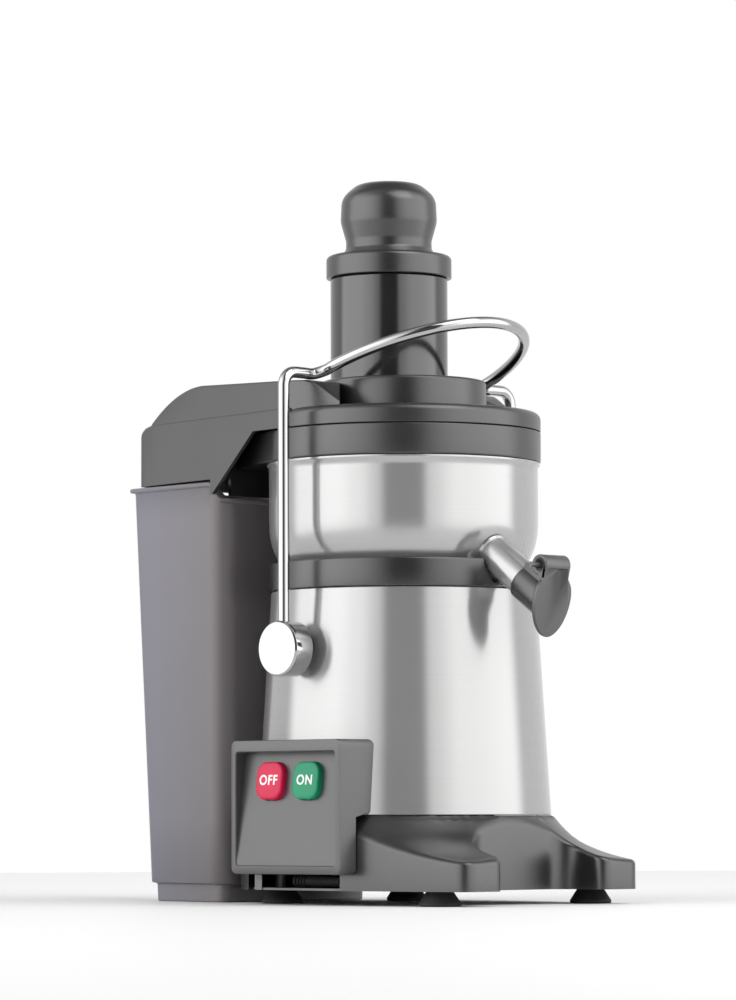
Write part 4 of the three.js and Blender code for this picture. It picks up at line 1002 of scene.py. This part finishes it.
def box_piece():
    """Shell of the box: rounded face, a frame, and a tilted floor that the buttons stand in."""
    def ring(points, x):
        return [Vector((x(p.x, p.y) if callable(x) else x, p.x, p.y)) for p in points]

    outer = box_outline(0)
    face = -BOX["face"]
    recess = box_outline(0, sides=(5, 5, 6, 8), corner=2)
    wider = box_outline(0, sides=(4.4, 4.4, 5.4, 7.4), corner=2.6)
    rings = [
        ring(outer, behind_box), ring(outer, face + 1.2), ring(box_outline(0.35), face + 0.35),
        ring(box_outline(1.2), face), ring(wider, face), ring(recess, face + 0.6),
        ring(recess, lambda y, z: max(floor_x(z), face + 0.7)),
    ]
    inner = box_outline(0, sides=(BOX_WALL,) * 4, corner=2)
    back = [ring(inner, behind_box), ring(inner, lambda y, z: max(floor_x(z), face) + BOX_WALL)]
    verts, faces = loft(rings, False, True)
    back_verts, back_faces = loft(back, False, True)
    size = len(outer)
    seam = [[k, (k + 1) % size, len(verts) + (k + 1) % size, len(verts) + k] for k in range(size)]
    verts, faces = merge((verts, faces), (back_verts, back_faces))
    return verts, faces + seam


def button_outline(grow, steps=8):
    half_y, half_z, corner = BUTTON_HALF_WIDTH + grow, BUTTON_HALF_HEIGHT + grow, BUTTON_CORNER + grow
    return fillet([(-half_y, -half_z, corner), (half_y, -half_z, corner), (half_y, half_z, corner),
                   (-half_y, half_z, corner)], steps, closed=True)


def on_floor(y, shape):
    """Places a shape drawn in the plane of the tilted floor, with its third axis outwards."""
    verts, faces = shape
    centre = Vector((floor_x(BUTTON_Z), y, BUTTON_Z))
    return [centre + FLOOR_TURN @ v for v in verts], faces


box = solid(box_piece())
for y in (OFF_Y, ON_Y):
    cut(box, solid(on_floor(y, prism(button_outline(0.4), -8, 12))))
piece("switch_housing", box, GREY, ROOT, "switch_box", sharp=30)


def lettering(text, name, y, body):
    """Raised white letters on a button."""
    curve = bpy.data.curves.new(name, "FONT")
    curve.body = text
    curve.size = LETTER_SIZE
    curve.align_x = "CENTER"
    curve.align_y = "CENTER"
    curve.extrude = 0.06
    curve.offset = 0.2
    curve.space_character = 1.12
    holder = bpy.data.objects.new(name, curve)
    bpy.context.scene.collection.objects.link(holder)
    graph = bpy.context.evaluated_depsgraph_get()
    mesh = bpy.data.meshes.new_from_object(holder.evaluated_get(graph))
    bpy.data.objects.remove(holder)
    verts = [Vector((v.co.x, v.co.y, v.co.z + LETTER_BASE)) for v in mesh.vertices]
    shape = on_floor(y, (verts, [list(face.vertices) for face in mesh.polygons]))
    piece(name, shape, WHITE, body)


for body, y, material, slot, text in (("off_button", OFF_Y, RED, "red_button", "OFF"),
                                      ("on_button", ON_Y, GREEN, "green_button", "ON")):
    rings = [flat_ring(button_outline(-inset), z) for z, inset in BUTTON_RINGS]
    piece(f"{body}_cap", on_floor(y, loft(rings)), material, body, body, sharp=40)
    lettering(text, f"{body}_letters", y, body)

# ------------------------------------------------------------------ pulp container

BIN = mirrored(BIN_HALF)


def bin_point(point, z):
    """Outline point drawn in towards the rear and sides as the walls go down."""
    depth = (point[1] - BIN_FRONT) / (BIN_REAR - BIN_FRONT)
    down = 1 - z / BIN_TOP
    return Vector((point[0] * (1 - BIN_SIDE_TAPER * down * depth), point[1] - BIN_REAR_TAPER * down * depth, z))


def bin_outline(inset):
    """Container outline with extra points along its sides, so that the rim can step down smoothly."""
    rounded = outline(BIN, inset, 10)
    points = []
    for i, point in enumerate(rounded):
        following = rounded[(i + 1) % len(rounded)]
        parts = 40 if (following - point).length > 30 else 1
        points += [point.lerp(following, k / parts) for k in range(parts)]
    return points


def rim_height(y, below=0.0):
    """Height of the rim: level behind, with a smooth step down at the front."""
    t = min(max((y - STEP_START) / STEP_LENGTH, 0), 1)
    return BIN_FRONT_TOP + (BIN_TOP - BIN_FRONT_TOP) * t * t * (3 - 2 * t) - below


def bin_shape():
    """Container: a stepped foot, tapering walls, a turned-over rim, then the inside down to its floor."""
    def level(inset, z):
        return [bin_point(p, z) for p in bin_outline(inset)]

    def rim(inset, below):
        return [bin_point(p, rim_height(p[1], below)) for p in bin_outline(inset)]

    outside = [(5.5, 0), (4.5, 0.8), (4.5, 12.2), (3.6, 12.9), (0.7, 13.3), (0, 14.2),
               (0, 60), (0, 120), (0, 180), (0, 240), (0, 270)]
    lip = [(0, 3.9), (-0.4, 3.3), (-1.7, 3.0), (-2.2, 2.4), (-2.2, 0.6), (-1.7, 0), (1.9, 0), (BIN_WALL, 0.6)]
    inside_wall = [(BIN_WALL, 270), (BIN_WALL, 18), (4, 15.6), (7, 15.4), (7, 3.4), (8, 2.5)]
    return loft([level(*pair) for pair in outside] + [rim(*pair) for pair in lip]
                + [level(*pair) for pair in inside_wall])


piece("pulp_bin", bin_shape(), SMOKE, "pulp_container", "pulp_container", sharp=40)

# ------------------------------------------------------------------ stage, light and camera


def stage():
    """Plain pale floor."""
    profile = [(0, -FLOOR_THICKNESS), (FLOOR_RADIUS, -FLOOR_THICKNESS), (FLOOR_RADIUS, 0), (0, 0)]
    floor = new_object("floor", lathe(profile, 96))
    floor.data.transform(TO_FRAME)
    material, tree, shader = new_material("pale_floor", (0.93, 0.93, 0.93), 0.55)
    vary(tree, shader, "Roughness", noise(tree, 3.0), 0.5, 0.6)
    floor.data.materials.append(material)


def studio():
    """White surroundings, dimmer overhead, with a soft dark gap behind the camera for streaks in the metal."""
    world = bpy.data.worlds.new("studio")
    bpy.context.scene.world = world
    world.use_nodes = True
    tree = world.node_tree
    background = tree.nodes["Background"]
    place = tree.nodes.new("ShaderNodeTexCoord")
    split = tree.nodes.new("ShaderNodeSeparateXYZ")
    turn = tree.nodes.new("ShaderNodeVectorRotate")
    turn.rotation_type = "Z_AXIS"
    turn.inputs["Angle"].default_value = -CAMERA_SIDE
    tree.links.new(place.outputs["Generated"], turn.inputs["Vector"])
    tree.links.new(turn.outputs[0], split.inputs[0])
    angle = math_node(tree, "ARCTAN2", split.outputs["Y"], split.outputs["X"])
    spread = spread_node(tree, angle, From_Min=-math.pi, From_Max=math.pi)
    ramp = tree.nodes.new("ShaderNodeValToRGB")
    stops = [(-180, 0.9), (-140, 0.8), (-112, 0.8), (-100, 2.4), (-60, 2.6), (-38, 2.1), (-23, 1.3),
             (-13, 0.12), (14, 0.10), (23, 1.4), (48, 2.2), (98, 2.5), (112, 0.9), (180, 0.9)]
    elements = ramp.color_ramp.elements
    while len(elements) < len(stops):
        elements.new(0.5)
    for element, (degrees, value) in zip(elements, stops):
        element.position = (degrees + 180) / 360
        element.color = (value, value, value, 1)
    ramp.color_ramp.interpolation = "EASE"
    tree.links.new(spread.outputs[0], ramp.inputs[0])
    overhead = spread_node(tree, split.outputs["Z"], From_Min=0.45, From_Max=0.95, To_Min=1.0, To_Max=0.25)
    overhead.interpolation_type = "SMOOTHSTEP"
    dimmed = tree.nodes.new("ShaderNodeVectorMath")
    dimmed.operation = "SCALE"
    tree.links.new(ramp.outputs[0], dimmed.inputs[0])
    tree.links.new(overhead.outputs[0], dimmed.inputs["Scale"])
    seen = tree.nodes.new("ShaderNodeLightPath")
    mix = tree.nodes.new("ShaderNodeMix")
    mix.data_type = "RGBA"
    colors = [socket for socket in mix.inputs if socket.type == "RGBA"]
    colors[1].default_value = (1.0, 1.0, 1.0, 1)
    tree.links.new(seen.outputs["Is Camera Ray"], mix.inputs["Factor"])
    tree.links.new(dimmed.outputs[0], colors[0])
    result = [socket for socket in mix.outputs if socket.type == "RGBA"][0]
    tree.links.new(result, background.inputs["Color"])
    background.inputs["Strength"].default_value = 1.0


def lamp(name, degrees, distance, height, size, power):
    """Area light at an angle from the camera's side, aimed at the middle of the juicer, in metres."""
    light = bpy.data.lights.new(name, "AREA")
    light.shape = "RECTANGLE"
    light.size = size[0]
    light.size_y = size[1]
    light.energy = power
    obj = bpy.data.objects.new(name, light)
    bpy.context.scene.collection.objects.link(obj)
    angle = CAMERA_SIDE + math.radians(degrees)
    obj.location = (distance * math.cos(angle), AXIS_Y + distance * math.sin(angle), height)
    aim = Vector((0, AXIS_Y, 0.25)) - obj.location
    obj.rotation_euler = aim.to_track_quat("-Z", "Y").to_euler()


def camera():
    data = bpy.data.cameras.new("camera")
    data.sensor_width = 36
    data.lens = CAMERA_LENS
    obj = bpy.data.objects.new("camera", data)
    bpy.context.scene.collection.objects.link(obj)
    turn = (Matrix.Rotation(math.radians(-45 + CAMERA_YAW), 4, "Z")
            @ Matrix.Rotation(math.radians(90 + CAMERA_PITCH), 4, "X")
            @ Matrix.Rotation(math.radians(CAMERA_ROLL), 4, "Z"))
    place = (CAMERA_DISTANCE * math.cos(CAMERA_SIDE), AXIS_Y + CAMERA_DISTANCE * math.sin(CAMERA_SIDE),
             CAMERA_HEIGHT)
    obj.matrix_world = Matrix.Translation(place) @ turn
    bpy.context.scene.camera = obj


stage()
studio()
lamp("top_light", 40, 1.2, 1.9, (1.4, 1.4), 14)
camera()
bpy.context.scene.view_settings.view_transform = "Standard"
